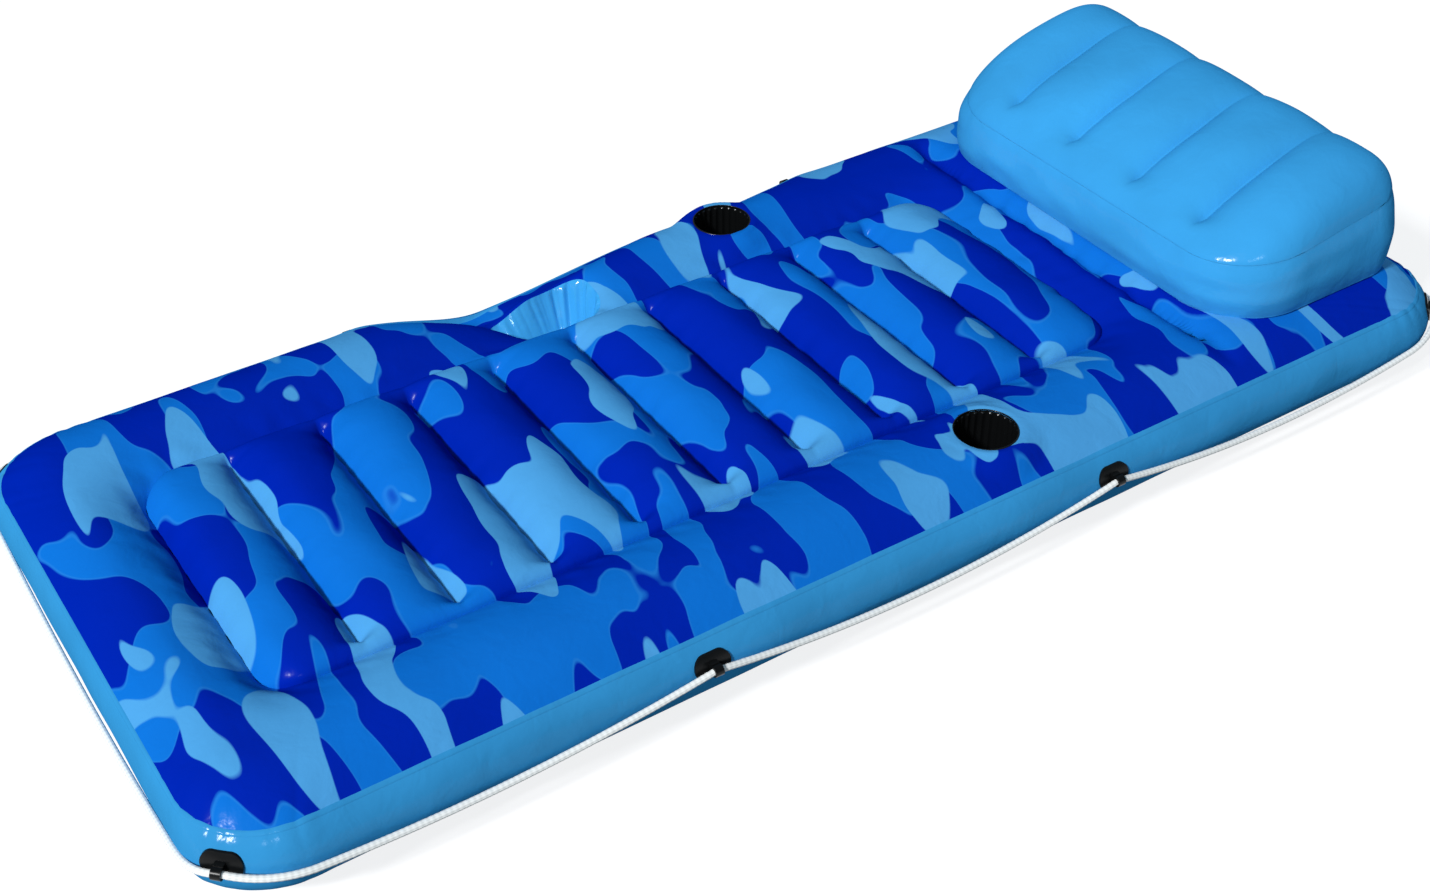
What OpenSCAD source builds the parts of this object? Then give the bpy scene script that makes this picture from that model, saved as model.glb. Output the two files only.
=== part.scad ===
// Inflatable pool lounge float. Millimetres. +X runs to the pillow end, +Y to the side with the
// ice well, Z up; the origin is the middle of the box on the ground.
// Vinyl is drawn as skins of one thickness, so the air chambers stay hollow and the inner webs show.

/* [Float] */
// Length over the side band, foot to head
float_length = 2210; // [2150:5:2300]
// Width over the side band
float_width = 956; // [940:2:1000]
// Height of the deck at its crest
deck_height = 180; // [172:1:190]
// Plan radius of the corners at the welded seams
corner_radius = 120; // [112:1:132]
// Drawn thickness of the vinyl skins
skin = 2; // [1.6:0.1:2.4]

/* [Side band] */
// Height of the seam between base and band
low_seam = 40; // [36:1:44]
// Height of the seam between band and deck
high_seam = 140; // [134:1:144]
// How far the band stands out past its seams
band_bulge = 26; // [22:1:30]

/* [Lounge] */
// Length of the lounge panel
lounge_length = 1443; // [1400:1:1460]
// Width of the lounge panel
lounge_width = 500; // [480:2:512]
// Middle of the lounge panel, along the float
lounge_x = -193; // [-200:1:-186]
// Plan radius of the lounge corners
lounge_corner = 60; // [50:1:70]
// How far a tube rises above its channels
tube_rise = 34; // [26:1:40]
// Height of the weld line round the lounge
lounge_seam = 150; // [146:1:156]
// Depth of the crease across the head end
crease_depth = 26; // [20:1:30]
// Distance of the crease from the lounge
crease_gap = 87; // [82:1:92]
// Bore of the air passages through the chamber wall
web_vent = 60; // [50:1:70]

/* [Cup holders] */
// Bore of a cup holder
cup_bore = 92; // [84:1:98]
// Depth of a cup holder
cup_depth = 106; // [96:1:114]
// Wall of a cup holder
cup_wall = 2.6; // [2.2:0.1:3]
// Position of the cup holders along the float
cup_x = 170; // [150:1:190]
// Distance of the cup holders from the middle
cup_y = 351; // [346:1:356]
// Moulded flutes inside a cup holder
cup_flutes = 24; // [18:1:26]

/* [Ice well] */
// Length of the ice well
well_length = 230; // [200:2:250]
// Width of the ice well
well_width = 124; // [112:1:130]
// Depth of the ice well
well_depth = 92; // [84:1:98]
// Position of the ice well along the float
well_x = -200; // [-230:1:-180]
// Strip of deck between the lounge panel and the ice well
well_strip = 14; // [10:1:20]
// How far the deck is drawn down round the well
well_dip = 20; // [14:1:24]
// How far the well's panel reaches past the well along the float
well_margin = 60; // [50:1:70]

/* [Pillow] */
// Width of the pillow at its base
pillow_width = 770; // [740:2:790]
// Depth of the pillow at its base
pillow_depth = 385; // [370:1:392]
// Gap between the crease and the pillow
pillow_gap = 29; // [25:1:33]
// Height of the front seam above the deck
pillow_front = 102; // [90:1:112]
// Height of the back seam above the deck
pillow_back = 202; // [190:1:215]
// How far the back leans in over its height
pillow_lean = 40; // [30:1:60]
// How far a lobe rises above its channels
pillow_rise = 24; // [18:1:28]

/* [Grab line] */
// Diameter of the rope
rope_d = 10; // [8:0.5:11]
// Sag of the rope on its long spans
rope_sag = 39; // [30:1:46]
// Span at which the rope sags that much
sag_span = 750; // [700:5:800]
// Height of the rope at the patches
patch_height = 108; // [102:1:110]
// Distance between the patches on the near side
patch_spacing = 711; // [660:1:740]
// Distance between the patches on the far side, either side of the ice well
far_spacing = 872; // [840:1:900]
// Middle of the patches along the float
patch_x = -37; // [-60:1:0]
// Length of a rope patch
patch_length = 56; // [50:1:62]
// Height of a rope patch
patch_tall = 34; // [30:1:40]
// Thickness of a rope patch
patch_pad = 3; // [2.5:0.1:3.4]
// How far a patch's middle lies above the rope
patch_lift = 0.5; // [0:0.5:3]

/* [Valves] */
// Bore of the main valve's base
valve_bore = 42; // [38:0.5:44]
// Bore of the pillow's stem valve
stem_bore = 8.4; // [7.5:0.1:9]
// Distance of the pillow's stem valve from the middle
stem_y = 150; // [120:1:180]

/* [Hidden] */
$fn = 64;
fit = 0.3;
run = 0.06;
// One web stands under each channel, so these counts go with the web nodes below.
tube_count = 10;
pillow_lobes = 5;
sky = "#3E9FE0";
print = "#1878DC";
black = "#1B1C1E";
white = "#F2F3F1";
clear = "#DCE6EA";
hx = float_length/2 - band_bulge;
hy = float_width/2 - band_bulge;
cr = corner_radius;
deck_roll = 95;
mid_z = (low_seam + high_seam)/2;
band_half = (high_seam - low_seam)/2;
band_r = (band_half*band_half + band_bulge*band_bulge)/(2*band_bulge);
band_c = cr + band_bulge - band_r;
base_roll = 95;
base_r = (base_roll*base_roll + low_seam*low_seam)/(2*low_seam);
lx = lounge_length/2;
ly = lounge_width/2;
pitch = lounge_length/tube_count;
lounge_head = lounge_x + lx;
crease_x = lounge_head + crease_gap;
web_z = lounge_seam - skin;
cup_r = cup_bore/2;
cup_rim = deck_height - 1;
well_r = well_width*0.4;
well_y = ly + well_strip + well_width/2;
well_rim = deck_top(well_x, well_y + well_width/2) - 1;
pil_x0 = crease_x + pillow_gap;
pil_x1 = pil_x0 + pillow_depth;
pil_top0 = pil_x0 + 22;
pil_top1 = pil_x1 - pillow_lean;
pil_hy = pillow_width/2;
pil_z0 = deck_height + skin;
pil_r = 75;
rope_off = patch_pad + rope_d/2 + 1.5;
rope_slope = atan(4*rope_sag/sag_span);
rope_c = cr + band_bulge + rope_off;
rope_lx = 2*(hx - cr);
rope_ly = 2*(hy - cr);
rope_arc = PI/2*rope_c;
patch_1 = patch_x - patch_spacing/2;
patch_2 = patch_x + patch_spacing/2;
far_1 = patch_x - far_spacing/2;
far_2 = patch_x + far_spacing/2;
face_x = float_length/2;
vr = valve_bore/2;
stem_r = stem_bore/2;
stem_out = stem_r + 2.8;

// Distance inside a rounded rectangle, negative outside it.
function inside(x, y, a, b, r) = let (p = abs(x) - a + r, q = abs(y) - b + r)
    r - (max(p, q) > 0 ? norm([max(p, 0), max(q, 0)]) : max(p, q));
// Half width of a rounded rectangle at x.
function half_at(x, a, b, r) = let (d = max(0, a - abs(x)))
    d >= r ? b : b - r + sqrt(max(0, r*r - (r - d)*(r - d)));
function clip(v) = min(1, max(0, v));
function sq(v) = v*v;
function sort(v) = len(v) < 2 ? v : let (m = v[floor(len(v)/2)])
    concat(sort([for (a = v) if (a < m) a]), [m], sort([for (a = v) if (a > m) a]));
function spaced(v, gap) = [for (i = [0:len(v) - 1])
    if (i == 0 || i == len(v) - 1 || (v[i] - v[i - 1] > gap && v[len(v) - 1] - v[i] > gap)) v[i]];
// Round of an air tube across its width, 0 at both welds and 1 at the crest.
function lobe(u) = sqrt(max(0, 1 - sq(2*u - 1)));

// Top of the deck: rolled down to the band and to the lounge, creased at the head, low at the well.
function deck_top(x, y) = let (
        o = max(0, inside(x, y, hx, hy, cr)),
        n = max(0, -inside(x - lounge_x, y, lx, ly, lounge_corner)),
        c = crease_depth*sq(1 - clip(abs(x - crease_x)/42))*sq(clip((hy - abs(y))/112)),
        w = y < 0 ? 0 : well_dip*sq(1 - sq(clip(abs(x - well_x)/260)))*clip(n/60)*clip(o/40))
    deck_height - (deck_height - high_seam - skin)*sq(1 - clip(o/deck_roll))
        - (deck_height - lounge_seam)*sq(1 - clip(n/deck_roll)) - c - w;

// A closed skin between a grid of points and the same grid moved by drop.
module grid_skin(p, drop) {
    n = len(p); m = len(p[0]); k = n*m;
    pts = concat([for (r = p) for (v = r) v], [for (r = p) for (v = r) v + drop]);
    top = [for (i = [0:n - 2]) for (j = [0:m - 2]) let (a = i*m + j)
        each [[a, a + 1, a + m + 1], [a, a + m + 1, a + m]]];
    low = [for (f = top) [f[2] + k, f[1] + k, f[0] + k]];
    ring = concat([for (i = [0:n - 2]) i*m], [for (j = [0:m - 2]) (n - 1)*m + j],
        [for (i = [n - 1:-1:1]) i*m + m - 1], [for (j = [m - 1:-1:1]) j]);
    wall = [for (i = [0:len(ring) - 1]) let (a = ring[i], b = ring[(i + 1) % len(ring)])
        each [[a, b, b + k], [a, b + k, a + k]]];
    polyhedron(pts, concat(top, low, wall));
}

// Rounded rectangle block.
module slab(a, b, r, h) {
    translate([-a + r, -b, 0]) cube([2*a - 2*r, 2*b, h]);
    translate([-a, -b + r, 0]) cube([2*a, 2*b - 2*r, h]);
    for (s = [-1, 1], t = [-1, 1]) translate([s*(a - r), t*(b - r), 0]) cylinder(r = r, h = h);
}

// Carries a profile, drawn from the corners' centres outwards, round the float.
module round_float() {
    for (t = [-1, 1]) {
        translate([0, t*(hy - cr), 0]) rotate([0, 0, 90*t]) translate([0, hx - cr, 0])
            rotate([90, 0, 0]) linear_extrude(2*(hx - cr)) children();
        translate([t*(hx - cr), 0, 0]) rotate([0, 0, t > 0 ? 0 : 180]) translate([0, hy - cr, 0])
            rotate([90, 0, 0]) linear_extrude(2*(hy - cr)) children();
    }
    for (c = [[1, 1, 0], [-1, 1, 90], [-1, -1, 180], [1, -1, 270]])
        translate([c[0]*(hx - cr), c[1]*(hy - cr), 0]) rotate([0, 0, c[2]])
            rotate_extrude(angle = 90) children();
}

// The band's section, from d0 to d1 outside its outer face.
module band_profile(d0, d1, z0, z1) {
    intersection() {
        translate([band_c, mid_z]) difference() {
            circle(r = band_r + d1);
            circle(r = band_r + d0);
        }
        translate([max(1, band_c), z0]) square([band_r + d1 + 200, z1 - z0]);
    }
}

module base_sheet() color(sky) {
    round_float() intersection() {
        translate([cr - base_roll, base_r]) difference() {
            circle(r = base_r, $fn = 128);
            circle(r = base_r - skin, $fn = 128);
        }
        translate([cr - base_roll, -1]) square([base_roll + 1, low_seam + 1]);
    }
    slab(hx - base_roll, hy - base_roll, cr - base_roll, skin);
}

module side_band() color(sky) difference() {
    round_float() band_profile(-skin, 0, low_seam, high_seam);
    translate([face_x - 60, 0, mid_z]) rotate([0, 90, 0]) cylinder(r = vr + 3 + fit, h = 100);
}

module deck_skin() {
    turn = [for (a = [0:22.5:90]) hx - cr + cr*cos(a)];
    xs = spaced(sort(concat(turn, [for (v = turn) -v],
        [-lx + lounge_x, -lx + lounge_x - 30, lounge_head, lounge_head + 22, lounge_head + 44],
        [for (d = [-42, -24, -10, 0, 10, 24, 42]) crease_x + d],
        [for (d = [-260, -175, -90, 0, 90, 175, 260]) well_x + d],
        [for (d = [-0.675, 0.628, 1.376]) lounge_x + d*lx])), 4);
    ys = sort([for (s = [-1, 1]) for (d = [0, 11, 28, 52, 80, 112, 150, 180, hy - ly]) s*(hy - d)/hy]);
    pts = [for (x = xs) let (h = half_at(x, hx, hy, cr)) [for (v = ys) [x, v*h, deck_top(x, v*h)]]];
    color(print) difference() {
        grid_skin(pts, [0, 0, -skin]);
        translate([lounge_x, 0, 0]) slab(lx + fit, ly + fit, lounge_corner + fit, 400);
        for (s = [-1, 1]) translate([cup_x, s*cup_y, 0]) cylinder(r = cup_r + cup_wall + fit, h = 400);
        translate([well_x, well_y, 0]) slab(well_length/2 + fit, well_width/2 + fit, well_r + fit, 400);
    }
}

// The part of the deck that carries the well is a panel of its own, from the lounge to the band.
module well_window() translate([well_x - well_length/2 - well_margin, ly - 20, 0])
    cube([well_length + 2*well_margin, hy - ly + 40, 400]);

module deck_sheet() difference() {
    deck_skin();
    well_window();
}

module well_panel() intersection() {
    deck_skin();
    well_window();
}

module lounge_panel() {
    us = [for (i = [0:tube_count*5]) i/5];
    vs = [-1, -0.96, -0.88, -0.72, -0.4, 0, 0.4, 0.72, 0.88, 0.96, 1];
    pts = [for (u = us) let (x = -lx + u*pitch,
            h = half_at(x, lx, ly, lounge_corner) - fit)
        [for (v = vs) [lounge_x + x*(1 - fit/lx), v*h,
            lounge_seam + tube_rise*lobe(u - floor(u))*sqrt(max(0, 1 - pow(v, 8)))]]];
    color(print) grid_skin(pts, [0, 0, -skin]);
}

module chamber_wall() color(clear) difference() {
    translate([lounge_x, 0, skin]) slab(lx + 2, ly + 2, lounge_corner + 2, web_z - skin);
    translate([lounge_x, 0, 0]) slab(lx - 2, ly - 2, lounge_corner - 2, 400);
    for (x = [-0.7, 0, 0.7]) translate([lounge_x + x*lx, -ly - 10, web_z/2])
        rotate([-90, 0, 0]) cylinder(d = web_vent, h = 2*ly + 20);
}

module lounge_web(i) color(clear)
    translate([lounge_x - lx + i*pitch - skin/2, -ly + 30, skin]) cube([skin, 2*ly - 60, web_z - skin]);

module head_web() color(clear) translate([crease_x - skin/2, -hy + 112, skin])
    cube([skin, 2*hy - 224, deck_top(crease_x, 0) - 2*skin]);

// One cup, its mouth at z 0 and its floor below.
module cup() color(black) difference() {
    translate([0, 0, -cup_depth - cup_wall]) cylinder(r = cup_r + cup_wall, h = cup_depth + cup_wall);
    translate([0, 0, -cup_depth]) cylinder(r = cup_r, h = cup_depth + 1);
    for (i = [0:cup_flutes - 1]) rotate([0, 0, (i + 0.5)*360/cup_flutes])
        translate([cup_r - 2, -1.2, -cup_depth + 6]) cube([3.2, 2.4, cup_depth - 12]);
}

module cup_near() translate([cup_x, -cup_y, cup_rim]) cup();

module cup_far() translate([cup_x, cup_y, cup_rim]) cup();

module well_liner() color(sky) translate([well_x, well_y, well_rim - well_depth - skin]) difference() {
    slab(well_length/2, well_width/2, well_r, well_depth + skin);
    translate([0, 0, skin]) slab(well_length/2 - skin, well_width/2 - skin, well_r - skin, well_depth + 1);
}

// Height of the pillow's top seam at x.
function pil_plane(x) = deck_height + pillow_front
    + (pillow_back - pillow_front)*(x - pil_top0)/(pil_top1 - pil_top0);
// Plan of the pillow's wall at a height share t, d further in.
function pil_ring(t, d) = let (
        x0 = pil_x0 + (pil_top0 - pil_x0)*t, x1 = pil_x1 - pillow_lean*t,
        g = 56*t*(1 - t) - d, a = (x1 - x0)/2 + g, b = pil_hy - 12*t + g, r = pil_r + g - 8*t)
    [for (q = [0:3]) for (k = [0:10]) let (
            s = [1, -1, -1, 1][q], p = [1, 1, -1, -1][q], e = k <= 6 ? k*15 : 90, m = k <= 6 ? 0 : (k - 6)/5,
            c = [(x0 + x1)/2 + s*(a - r), p*(b - r)] + r*[cos(q*90 + e), sin(q*90 + e)],
            far = [(x0 + x1)/2 + [-1, -1, 1, 1][q]*(a - r), [1, -1, -1, 1][q]*(b - r)]
                + r*[cos(q*90 + 90), sin(q*90 + 90)])
        c + (far - c)*m];
function pil_level(p, t) = [p[0], p[1], pil_z0 + (pil_plane(p[0]) - pil_z0)*t];

module pillow_base() color(sky) translate([(pil_x0 + pil_x1)/2, 0, deck_height])
    slab(pillow_depth/2, pil_hy, pil_r, skin);

module pillow_band() {
    ts = [0, 0.25, 0.5, 0.75, 1];
    rings = [for (d = [0, skin]) for (t = ts) [for (p = pil_ring(t, d)) pil_level(p, t)]];
    n = len(rings[0]); m = len(ts);
    // Faces between ring a and ring b, seen from outside.
    function join(a, b) = [for (i = [0:n - 1]) let (j = (i + 1) % n)
        each [[a*n + i, b*n + i, b*n + j], [a*n + i, b*n + j, a*n + j]]];
    walls = [for (t = [0:m - 2]) each join(t, t + 1)];
    backs = [for (t = [0:m - 2]) each join(m + t + 1, m + t)];
    color(sky) difference() {
        polyhedron([for (r = rings) each r],
            concat(walls, backs, join(m - 1, 2*m - 1), join(m, 0)));
        at_stem() translate([0, 0, -30]) cylinder(r = stem_out + fit, h = 60);
    }
}

module pillow_top() {
    a = (pil_top1 - pil_top0)/2; b = pil_hy - 12; r = pil_r - 8;
    us = [for (i = [0:pillow_lobes*6]) i/6];
    vs = [-1, -0.93, -0.8, -0.5, 0, 0.5, 0.8, 0.93, 1];
    pts = [for (v = vs) [for (u = us) let (
            y = -b + u*2*b/pillow_lobes, h = half_at(y, b, a, r), x = pil_top0 + a + v*h,
            e = sqrt(max(0, 1 - pow(v, 6))))
        [x, y, pil_plane(x) + skin + pillow_rise*e*lobe(u - floor(u))]]];
    color(sky) grid_skin(pts, [0, 0, -skin]);
}

module pillow_web(i) {
    x0 = pil_top0 + 36; x1 = pil_top1 - 24;
    color(clear)
        translate([0, -pil_hy + 12 + i*2*(pil_hy - 12)/pillow_lobes + skin/2, 0])
            rotate([90, 0, 0]) linear_extrude(skin)
                polygon([[x0, pil_z0], [x1, pil_z0], [x1, pil_plane(x1)], [x0, pil_plane(x0)]]);
}

// The rope's line, as its distance from the near foot corner's patch.
function rope_at(s) = let (a = rope_arc, u = (s + a/2 + 2*rope_len) % rope_len, x = rope_lx/2, y = rope_ly/2,
        e1 = a + rope_lx, e2 = e1 + a + rope_ly, e3 = e2 + a + rope_lx)
    u < a ? [-x, -y] + rope_c*[cos(180 + 90*u/a), sin(180 + 90*u/a)]
    : u < e1 ? [-x + u - a, -y - rope_c]
    : u < e1 + a ? [x, -y] + rope_c*[cos(270 + 90*(u - e1)/a), sin(270 + 90*(u - e1)/a)]
    : u < e2 ? [x + rope_c, -y + u - e1 - a]
    : u < e2 + a ? [x, y] + rope_c*[cos(90*(u - e2)/a), sin(90*(u - e2)/a)]
    : u < e3 ? [x - u + e2 + a, y + rope_c]
    : u < e3 + a ? [-x, y] + rope_c*[cos(90 + 90*(u - e3)/a), sin(90 + 90*(u - e3)/a)]
    : [-x - rope_c, y - u + e3 + a];
rope_len = 2*rope_lx + 2*rope_ly + 4*rope_arc;
held = [0, rope_arc/2 + rope_lx/2 + patch_1, rope_arc/2 + rope_lx/2 + patch_2, rope_arc + rope_lx,
    2*rope_arc + rope_lx + rope_ly, 2.5*rope_arc + 1.5*rope_lx + rope_ly - far_2,
    2.5*rope_arc + 1.5*rope_lx + rope_ly - far_1, 3*rope_arc + 2*rope_lx + rope_ly, rope_len];

module grab_line() {
    steps = 10; sides = 8;
    line = [for (k = [0:7]) for (i = [0:steps - 1]) let (w = 0.5 - 0.5*cos(180*i/steps),
            p = rope_at(held[k] + (held[k + 1] - held[k])*w))
        [p[0], p[1], patch_height - rope_sag*sq((held[k + 1] - held[k])/sag_span)*4*w*(1 - w)]];
    n = len(line);
    pts = [for (i = [0:n - 1]) let (t = line[(i + 1) % n] - line[(i + n - 1) % n], f = t/norm(t),
            o = cross(f, [0, 0, 1]), g = o/norm(o), h = cross(g, f))
        for (j = [0:sides - 1]) line[i] + rope_d/2*(g*cos(j*360/sides) + h*sin(j*360/sides))];
    faces = [for (i = [0:n - 1]) for (j = [0:sides - 1]) let (a = i*sides + j,
            b = i*sides + (j + 1) % sides, c = ((i + 1) % n)*sides + j,
            d = ((i + 1) % n)*sides + (j + 1) % sides)
        each [[a, b, d], [a, d, c]]];
    color(white) polyhedron(pts, faces);
}

// The rope's two ends meet in this sleeve, in the middle of the far side's middle span.
module rope_sleeve() {
    z = patch_height - rope_sag*sq(far_spacing/sag_span);
    color(black) translate([patch_x - 22, hy - cr + rope_c, z]) rotate([0, 90, 0]) difference() {
        cylinder(r = rope_d/2 + 2.4, h = 44);
        translate([0, 0, -1]) cylinder(r = rope_d/2 + 0.8, h = 46);
    }
}

// A patch in its own frame: +X outwards from the corner's centre line, the rope along Y.
module patch_solid(bent) {
    hole = rope_d/2 + 0.9;
    loop = hole + 2.5;
    difference() {
        union() {
            intersection() {
                patch_shell(bent, 0, patch_pad);
                translate([cr - 40, 0, patch_height + patch_lift]) {
                    for (s = [-1, 1]) translate([0, s*(patch_length - patch_tall)/2, 0])
                        rotate([0, 90, 0]) cylinder(d = patch_tall, h = 120);
                    translate([0, -(patch_length - patch_tall)/2, -patch_tall/2])
                        cube([120, patch_length - patch_tall, patch_tall]);
                }
            }
            intersection() {
                patch_shell(bent, 1, rope_off);
                translate([cr - 40, -6.5, patch_height - loop + 0.6]) cube([200, 13, 2*loop - 1.2]);
            }
            translate([rope_c, 0, patch_height]) rotate([90, 0, 0])
                cylinder(r = loop, h = 13, center = true);
        }
        // The rope leaves a patch downhill both ways, so its hole is drilled from both ends.
        for (s = [-1, 1]) translate([rope_c, 0, patch_height]) rotate([-s*(90 + rope_slope), 0, 0])
            translate([0, 0, -2]) cylinder(r = hole, h = 60);
    }
}

module patch_shell(bent, d0, d1) {
    if (bent) rotate([0, 0, -30]) rotate_extrude(angle = 60) band_profile(d0, d1, low_seam, high_seam + 9);
    else rotate([90, 0, 0]) linear_extrude(100, center = true) band_profile(d0, d1, low_seam, high_seam + 9);
}

// Patches 1 to 4 go along the near side from the foot, 5 to 8 back along the far side.
module rope_patch(i) {
    s = i < 5 ? -1 : 1;
    n = [1, 2, 3, 4, 4, 3, 2, 1][i - 1];
    color(black) {
        if (n == 1) translate([-hx + cr, s*(hy - cr), 0]) rotate([0, 0, s*135]) patch_solid(true);
        if (n == 2) translate([s < 0 ? patch_1 : far_1, s*(hy - cr), 0])
            rotate([0, 0, s*90]) patch_solid(false);
        if (n == 3) translate([s < 0 ? patch_2 : far_2, s*(hy - cr), 0])
            rotate([0, 0, s*90]) patch_solid(false);
        if (n == 4) translate([hx - cr, s*(hy - cr), 0]) rotate([0, 0, s*45]) patch_solid(true);
    }
}

// Places the main valve: its axis out of the head end, x 0 at the band's outer face.
module at_valve() translate([face_x, 0, mid_z]) rotate([0, 90, 0]) children();

module valve_base() color(black) {
    intersection() {
        translate([hx - cr, 0, 0]) rotate([90, 0, 0]) linear_extrude(100, center = true)
            band_profile(0, 2.5, low_seam, high_seam);
        at_valve() translate([0, 0, -50]) difference() {
            cylinder(r = vr + 13, h = 60);
            cylinder(r = vr + 1, h = 60);
        }
    }
    at_valve() translate([0, 0, -16]) difference() {
        cylinder(r = vr + 3, h = 19);
        translate([0, 0, -1]) cylinder(r = vr, h = 21);
    }
}

module valve_gasket() color(black) at_valve() translate([0, 0, 3]) difference() {
    cylinder(r = vr + 2.6, h = 1.5);
    translate([0, 0, -1]) cylinder(r = vr + 0.3, h = 4);
}

module valve_insert() color(black) at_valve() {
    difference() {
        union() {
            translate([0, 0, -13]) cylinder(r = vr - run, h = 18);
            translate([0, 0, 4.5]) cylinder(r = vr + 2.6, h = 2.5);
        }
        translate([0, 0, -14]) cylinder(r = vr - 5, h = 22);
        for (a = [0:30:330]) rotate([0, 0, a]) translate([vr + 2.6, 0, 4]) cylinder(r = 1.4, h = 4);
    }
    translate([0, 0, -13]) difference() {
        union() {
            cylinder(r = 4.5, h = 3);
            for (a = [0, 120, 240]) rotate([0, 0, a]) translate([0, -1.5, 0]) cube([vr - 4, 3, 3]);
        }
        translate([0, 0, -1]) cylinder(r = 1.7, h = 5);
    }
}

module valve_disc() color(clear) at_valve() {
    translate([0, 0, -14.2]) cylinder(r = vr - 3, h = 1.2);
    translate([0, 0, -14]) cylinder(r = 1.7 - run, h = 10);
    translate([0, 0, -5.8]) cylinder(r = 2.6, h = 2);
}

module valve_cap() color(black) at_valve() {
    translate([0, 0, 1]) cylinder(r = vr - 5 - run, h = 7);
    translate([0, 0, 7]) cylinder(r = vr - 1.5, h = 2.2);
    translate([-2, -vr + 8, 9]) cube([4, 2*vr - 16, 2.2]);
}

module valve_tether() color(black) at_valve() {
    translate([-3, vr - 1.5 + fit, 7]) cube([6, 7, 1.4]);
    translate([-3, vr + 2.6 + fit, 4.5]) cube([6, 2.6, 3]);
}

// The pillow's back wall at a height share t, and the stem valve's seat square to it.
function pil_back(t) = pil_level([pil_x1 - pillow_lean*t + 56*t*(1 - t), 0], t);
stem_a = pil_back(0.25);
stem_b = pil_back(0.5);
stem_tilt = atan2(stem_a[0] - stem_b[0], stem_b[2] - stem_a[2]);
stem_at = (stem_a + stem_b)/2 + [0, stem_y, 0];
module at_stem() translate(stem_at) rotate([0, 90 - stem_tilt, 0]) children();

module stem_flange() color(sky) at_stem() difference() {
    union() {
        cylinder(r = stem_out + 10, h = 1.6);
        translate([0, 0, -16]) cylinder(r = stem_out + fit - 0.05, h = 17);
    }
    translate([0, 0, -20]) cylinder(r = stem_out - 1, h = 30);
}

module valve_stem() color(clear) at_stem() difference() {
    union() {
        translate([0, 0, -26]) cylinder(r = stem_out - 1 - run, h = 31.5);
        translate([0, 0, 4]) cylinder(r = stem_out + 1.6, h = 1.5);
    }
    translate([0, 0, -27]) cylinder(r = stem_r, h = 40);
}

module stem_plug() color(clear) at_stem() {
    translate([0, 0, -5]) cylinder(r = stem_r - run, h = 11);
    translate([0, 0, 5.5]) cylinder(r = stem_out + 1, h = 2.4);
}

module stem_flap() color(clear) at_stem() translate([0, 0, -27]) {
    cylinder(r = stem_out - 1.2, h = 1 - run);
    translate([-stem_out, -3, 0]) cube([3, 6, 1 - run]);
    translate([-stem_out, -3, 1 - run]) rotate([-90, 0, 0]) cylinder(r = 0.8, h = 6);
}

base_sheet();
side_band();
deck_sheet();
lounge_panel();
chamber_wall();
lounge_web(1);  // lounge_web_1
lounge_web(2);  // lounge_web_2
lounge_web(3);  // lounge_web_3
lounge_web(4);  // lounge_web_4
lounge_web(5);  // lounge_web_5
lounge_web(6);  // lounge_web_6
lounge_web(7);  // lounge_web_7
lounge_web(8);  // lounge_web_8
lounge_web(9);  // lounge_web_9
head_web();
cup_near();
cup_far();
well_panel();
well_liner();
pillow_base();
pillow_band();
pillow_top();
pillow_web(1);  // pillow_web_1
pillow_web(2);  // pillow_web_2
pillow_web(3);  // pillow_web_3
pillow_web(4);  // pillow_web_4
rope_patch(1);  // rope_patch_1
rope_patch(2);  // rope_patch_2
rope_patch(3);  // rope_patch_3
rope_patch(4);  // rope_patch_4
rope_patch(5);  // rope_patch_5
rope_patch(6);  // rope_patch_6
rope_patch(7);  // rope_patch_7
rope_patch(8);  // rope_patch_8
grab_line();
rope_sleeve();
valve_base();
valve_gasket();
valve_insert();
valve_disc();
valve_cap();
valve_tether();
stem_flange();
valve_stem();
stem_plug();
stem_flap();
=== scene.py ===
"""Skins, print, rope and fittings of an inflatable pool lounge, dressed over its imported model.

Every length is in metres in the part's own frame: +X to the pillow end, +Y to the side with the
ice well, +Z up, the origin on the ground under the middle of the float.
"""
from collections import namedtuple

import bmesh
import bpy
import numpy as np
from bpy.props import FloatProperty, IntProperty, PointerProperty, StringProperty
from mathutils import Matrix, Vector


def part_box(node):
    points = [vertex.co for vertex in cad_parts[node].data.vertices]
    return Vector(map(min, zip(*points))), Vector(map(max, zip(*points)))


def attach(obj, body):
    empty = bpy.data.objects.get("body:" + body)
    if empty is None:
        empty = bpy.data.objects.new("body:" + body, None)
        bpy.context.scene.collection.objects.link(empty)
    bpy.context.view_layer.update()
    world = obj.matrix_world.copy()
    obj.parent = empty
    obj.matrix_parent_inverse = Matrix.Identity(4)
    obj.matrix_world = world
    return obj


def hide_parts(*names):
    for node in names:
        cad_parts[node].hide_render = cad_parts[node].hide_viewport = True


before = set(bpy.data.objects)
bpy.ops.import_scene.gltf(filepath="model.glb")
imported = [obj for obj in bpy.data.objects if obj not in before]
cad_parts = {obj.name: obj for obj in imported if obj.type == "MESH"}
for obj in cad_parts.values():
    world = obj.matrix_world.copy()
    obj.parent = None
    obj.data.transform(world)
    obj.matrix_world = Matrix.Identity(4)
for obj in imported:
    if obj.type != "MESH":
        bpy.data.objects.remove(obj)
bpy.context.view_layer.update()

bl_info = {
    "name": "Pool lounge",
    "version": (1, 0, 0),
    "blender": (4, 5, 0),
    "location": "3D View > Sidebar > Pool lounge",
    "description": "Builds the vinyl skins, rope, cups and finishes of an inflatable pool lounge",
    "category": "Object",
}

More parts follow.
